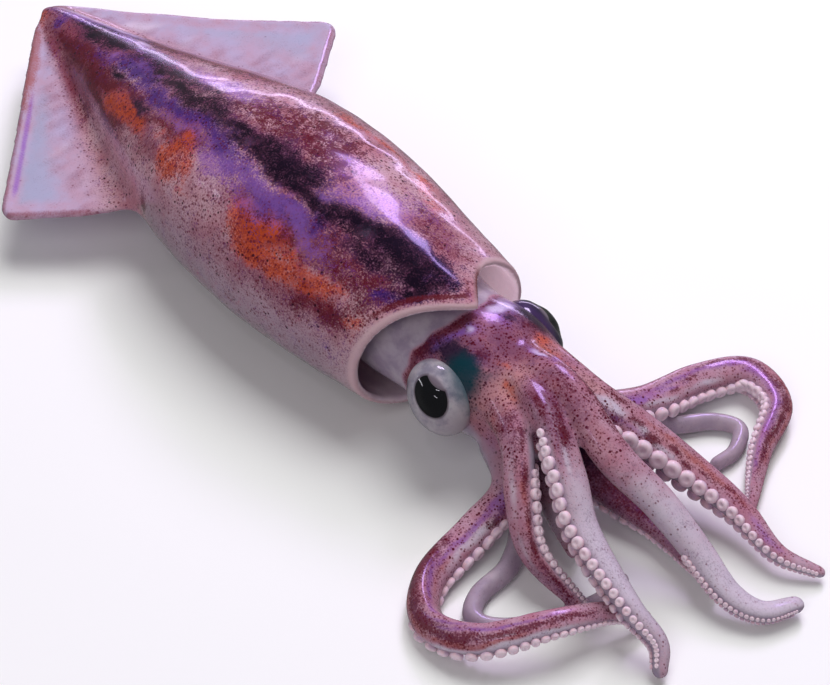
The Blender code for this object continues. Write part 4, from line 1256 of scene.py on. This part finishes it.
    # a painted glow, given as emission, stands in for light from behind coming through the thin front of the wall
    glow = mixColours(tree, masks["paintedGlow"], (0, 0, 0, 1), (0.34, 0.24, 0.28, 1))
    tree.links.new(glow, shader.inputs["Emission Color"])
    shader.inputs["Emission Strength"].default_value = 1.0
    tree.links.new(maths(tree, "MULTIPLY", less(tree, violet, dark), 0.25), shader.inputs["Metallic"])
    tree.links.new(maths(tree, "MULTIPLY_ADD", clouds, 0.16, 0.14), shader.inputs["Roughness"])
    height = placeGroup(tree, reliefGroup, Vector=where, Swells=0.4, Pores=0.07, Dots=fineDots, Raised=0.05)
    finishSkin(tree, shader, height, 0.3, 0.4)
    return material


def headMaterial():
    material, tree, shader, where, clouds, grain, masks, patch, paint = skinTools("head skin", (
        "wine", "violet", "lilac", "dark", "teal", "maroon", "orange", "pale", "warm", "paintedHighlight", "neck", "under",
        "suckerSide", "onLimb", "darkEdge", "bigDots",
    ), 130.0)
    skin = mixColours(tree, stepBetween(tree, clouds, 0.3, 0.7), tones["salmon"], tones["mauve"])
    limb = mixColours(tree, stepBetween(tree, clouds, 0.3, 0.7), tones["limb"], tones["limbPink"])
    body = mixColours(tree, masks["onLimb"], skin, limb)
    bare = maths(tree, "MAXIMUM", masks["neck"], maths(tree, "MAXIMUM", masks["under"], masks["suckerSide"]))
    pale = patch("pale", 120.0, 0.5, 0.4, 0.4)
    pigment = maths(tree, "MULTIPLY_ADD", masks["wine"], 0.25, 0.68)
    for name, amount in (("maroon", 0.3), ("onLimb", -0.04), ("warm", 0.25)):
        pigment = maths(tree, "MULTIPLY_ADD", masks[name], amount, pigment)
    pigment = maths(tree, "MULTIPLY_ADD", clouds, 0.4, maths(tree, "SUBTRACT", pigment, 0.2))
    pigment = less(tree, pigment, bare)
    pigment = less(tree, pigment, maths(tree, "MULTIPLY", pale, 0.9))
    fineDots = placeGroup(tree, dotsGroup, Vector=where, Dots_per_metre=1350.0, Amount=pigment, Size=0.4, Softness=0.12)
    amount = maths(tree, "MULTIPLY", maths(tree, "MULTIPLY", pigment, masks["bigDots"]), 1.7)
    bigDots = placeGroup(tree, dotsGroup, Vector=where, Dots_per_metre=820.0, Amount=amount, Size=0.29, Softness=0.07)
    violet = patch("violet", 200.0, 0.9, 0.6, 0.6, 0.5)
    colour = paint(body, patch("warm", 200.0, 1.3, 0.8, 0.5, 0.5), "salmonLight", 0.7)
    colour = paint(colour, pale, "paleLimb")
    colour = paint(colour, patch("wine", 160.0, 0.9, 0.8, 0.45, 0.45), "headPlum", 0.7)
    orange = mixColours(tree, masks["onLimb"], tones["orange"], tones["rustPink"])
    share = maths(tree, "MULTIPLY", patch("orange", 240.0, 1.5, 1.1, 0.45, 0.5), 0.7)
    colour = mixColours(tree, share, colour, orange)
    colour = paint(colour, patch("maroon", 280.0, 1.9, 1.1, 0.35, 0.55), "maroon", 0.85)
    # violet and lilac on the head are mostly painted highlight; on the limbs they are partly painted highlight along
    # the ridges
    violetTone = mixColours(tree, masks["onLimb"], tones["headViolet"], tones["ridgeViolet"])
    colour = mixColours(tree, maths(tree, "MULTIPLY", violet, 0.8), colour, violetTone)
    colour = paint(colour, patch("lilac", 200.0, 0.4, 0.3, 0.45, 0.5), "lilac", 0.7)
    colour = paint(colour, patch("darkEdge", 300.0, 0.6, 0.5, 0.3, 0.5), "maroon", 0.7)
    colour = paint(colour, fineDots, "dot", 0.7)
    colour = paint(colour, bigDots, "headDot", 0.95)
    # painted highlight at the nape, beside the near eye and on a limb root ridge
    colour = paint(colour, patch("paintedHighlight", 200.0, 0.6, 0.2, 0.45, 0.5), "paintedHighlight", 0.9)
    colour = paint(colour, patch("dark", 160.0, 0.8, 0.5, 0.45, 0.36), "inkNavy", 0.95)
    colour = paint(colour, patch("teal", 160.0, 0.2, 0.2, 0.45, 0.5), "teal", 0.95)
    neck = mixColours(tree, stepBetween(tree, clouds, 0.36, 0.66), tones["neckShade"], tones["neck"])
    colour = mixColours(tree, bare, colour, neck)
    tree.links.new(colour, shader.inputs["Base Color"])
    tree.links.new(maths(tree, "MULTIPLY", violet, 0.1), shader.inputs["Metallic"])
    tree.links.new(maths(tree, "MULTIPLY_ADD", clouds, 0.16, 0.14), shader.inputs["Roughness"])
    height = placeGroup(tree, reliefGroup, Vector=where, Swells=0.5, Pores=0.08, Dots=bigDots, Raised=0.08)
    finishSkin(tree, shader, height, 0.3, 0.3)
    return material


def suckerMaterial():
    material, tree, shader, where = newMaterial("sucker flesh", wetFinish)
    height = maskOf(tree, "suckerHeight")
    clouds = addNode(tree, "TexNoise", {"Vector": where, "Scale": 500.0, "Detail": 3.0}).outputs["Fac"]
    sides = mixColours(tree, stepBetween(tree, clouds, 0.4, 0.65), tones["sucker"], tones["suckerSide"])
    colour = mixColours(tree, stepBetween(tree, height, 0.1, 0.7), sides, tones["suckerTop"])
    colour = mixColours(tree, stepBetween(tree, clouds, 0.5, 0.75, 0.5), colour, tones["suckerPit"])
    tree.links.new(colour, shader.inputs["Base Color"])
    finishSkin(tree, shader, clouds, 0.2, 0.15)
    return material


def eyeMaterial():
    material, tree, shader, where = newMaterial("eye", eyeFinish)
    pupil = stepBetween(tree, maskOf(tree, "pupil"), -0.12, 0.12)
    clouds = addNode(tree, "TexNoise", {"Vector": where, "Scale": 130.0, "Detail": 6.0, "Roughness": 0.65}).outputs["Fac"]
    colour = mixColours(tree, stepBetween(tree, clouds, 0.36, 0.64), tones["eyeWhite"], tones["eyeGrey"])
    snoutSide = stepBetween(tree, maths(tree, "MULTIPLY_ADD", clouds, 0.3, maskOf(tree, "acrossEye")), 0.6, 1.15)
    colour = mixColours(tree, maths(tree, "MULTIPLY", snoutSide, 0.9), colour, tones["tealPale"])
    margin = stepBetween(tree, maskOf(tree, "outOfHead"), 0.3, 0.0)
    colour = mixColours(tree, maths(tree, "MULTIPLY", margin, 0.5), colour, tones["mauve"])
    cap = placeGroup(tree, patchGroup, Vector=where, Mask=maskOf(tree, "skinCap"), Grain=clouds, Scale=300.0,
                     Breakup=0.6, Stipple=0.4, Softness=0.3, Level=0.5)
    skin = mixColours(tree, stepBetween(tree, clouds, 0.35, 0.7), tones["navy"], tones["olive"])
    colour = mixColours(tree, cap, colour, skin)
    headSide = placeGroup(tree, patchGroup, Vector=where, Mask=maskOf(tree, "headSide"), Grain=clouds, Scale=200.0,
                          Breakup=1.2, Stipple=0.4, Softness=0.5, Level=0.5)
    colour = mixColours(tree, maths(tree, "MULTIPLY", headSide, 0.85), colour, tones["eyeShade"])
    # painted shade: the lid over the pupil is coloured as the eye white darkened, and a painted shadow line darkens the
    # pupil's edge
    lid = maskOf(tree, "lid")
    colour = mixColours(tree, lid, colour, tones["lid"])
    edge = stepBetween(tree, maskOf(tree, "pupil"), -0.55, -0.1)
    colour = mixColours(tree, maths(tree, "MULTIPLY", edge, 0.6), colour, tones["inkBrown"])
    colour = mixColours(tree, pupil, colour, tones["pupil"])
    tree.links.new(colour, shader.inputs["Base Color"])
    smooth = maths(tree, "MULTIPLY_ADD", pupil, -0.22, 0.28)
    tree.links.new(smooth, shader.inputs["Roughness"])
    finishSkin(tree, shader, clouds, 0.1, 0.15)
    return material


mantleSkin.data.materials.append(mantleMaterial())
headSkin.data.materials.append(headMaterial())
suckers.data.materials.append(suckerMaterial())
sharedEye = eyeMaterial()
for piece in eyePieces.values():
    piece.data.materials.append(sharedEye)
print("materials made")


# ---- floor, light and camera ----

studio = {
    "azimuth": 50, "elevation": 46, "distance": 0.665, "target": (0.074, -0.003, 0.020), "lens": 100,
}


def makeStage():
    bpy.ops.mesh.primitive_plane_add(size=30)
    floor = bpy.context.object
    floor.name = "floor"
    material = bpy.data.materials.new("floor")
    material.use_nodes = True
    shader = material.node_tree.nodes["Principled BSDF"]
    shader.inputs["Base Color"].default_value = (0.9, 0.9, 0.9, 1)
    shader.inputs["Roughness"].default_value = 0.6
    floor.data.materials.append(material)
    floor.visible_glossy = False
    world = bpy.data.worlds.new("studio")
    bpy.context.scene.world = world
    world.use_nodes = True
    world.node_tree.nodes["Background"].inputs["Color"].default_value = (1, 1, 1, 1)
    world.node_tree.nodes["Background"].inputs["Strength"].default_value = 0.16
    bpy.context.scene.view_settings.view_transform = "Standard"


def addLamp(name, position, size, power, longWay=(1, 0, 0), colour=(1, 1, 1), shines=True):
    # a soft lamp that looks at the squid; one that doesn't shine lights it without showing in the wet film
    target = (0.03, 0, 0.03)
    light = bpy.data.lights.new(name, "AREA")
    light.shape = "RECTANGLE"
    light.size, light.size_y = size
    light.energy = power
    light.color = colour
    lamp = bpy.data.objects.new(name, light)
    bpy.context.scene.collection.objects.link(lamp)
    back = (Vector(position) - Vector(target)).normalized()
    upwards = back.cross(Vector(longWay)).normalized()
    sideways = upwards.cross(back)
    turn = Matrix((sideways, upwards, back)).transposed().to_4x4()
    lamp.matrix_world = Matrix.Translation(position) @ turn
    lamp.visible_glossy = shines


def addCamera():
    azimuth, elevation = math.radians(studio["azimuth"]), math.radians(studio["elevation"])
    back = Vector((
        math.sin(azimuth) * math.cos(elevation), -math.cos(azimuth) * math.cos(elevation), math.sin(elevation)
    ))
    camera = bpy.data.objects.new("camera", bpy.data.cameras.new("camera"))
    bpy.context.scene.collection.objects.link(camera)
    camera.data.lens = studio["lens"]
    camera.location = Vector(studio["target"]) + back * studio["distance"]
    camera.rotation_euler = back.to_track_quat("Z", "Y").to_euler()
    bpy.context.scene.camera = camera


makeStage()
lilacWhite = (0.82, 0.66, 1.0)
addLamp("top", (-0.1, 0.35, 1.15), (0.8, 0.7), 10.5, shines=False)
addLamp("fill", (0.44, -0.72, 0.80), (0.5, 0.5), 2.4, shines=False)
addLamp("eyeGlint", (-0.70, -0.64, 0.48), (0.13, 0.06), 0.24, longWay=(0.6, -0.7, 0.3))
addLamp("eyeSpark", (0.36, -0.44, 1.02), (0.16, 0.04), 0.3)
addLamp("tailStrip", (-1.0, 0.56, 0.04), (0.15, 0.05), 0.2, longWay=(0.5, 0.9, 0), colour=lilacWhite)
addLamp("shoulder", (-0.90, 0.62, 0.16), (0.26, 0.07), 0.48, longWay=(0.61, 0.79, 0), colour=lilacWhite)
addLamp("longStrip", (-0.58, 0.86, 0.09), (0.62, 0.07), 1.2, longWay=(0.62, 0.40, 0), colour=lilacWhite)
addLamp("highWindow", (-0.34, 0.66, 0.84), (0.30, 0.26), 4.4, longWay=(0.6, -0.5, 0), colour=lilacWhite)
addCamera()

for piece, nodes, slotName in (
    (mantleSkin, ["mantle"], "mantle_skin"),
    (headSkin, ["head"], "head_skin"),
    (suckers, ["head"], "head_skin"),
    (eyePieces["right"], ["eye_right"], "eye"),
    (eyePieces["left"], ["eye_left"], "eye"),
):
    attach(piece, "root")
    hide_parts(*nodes)
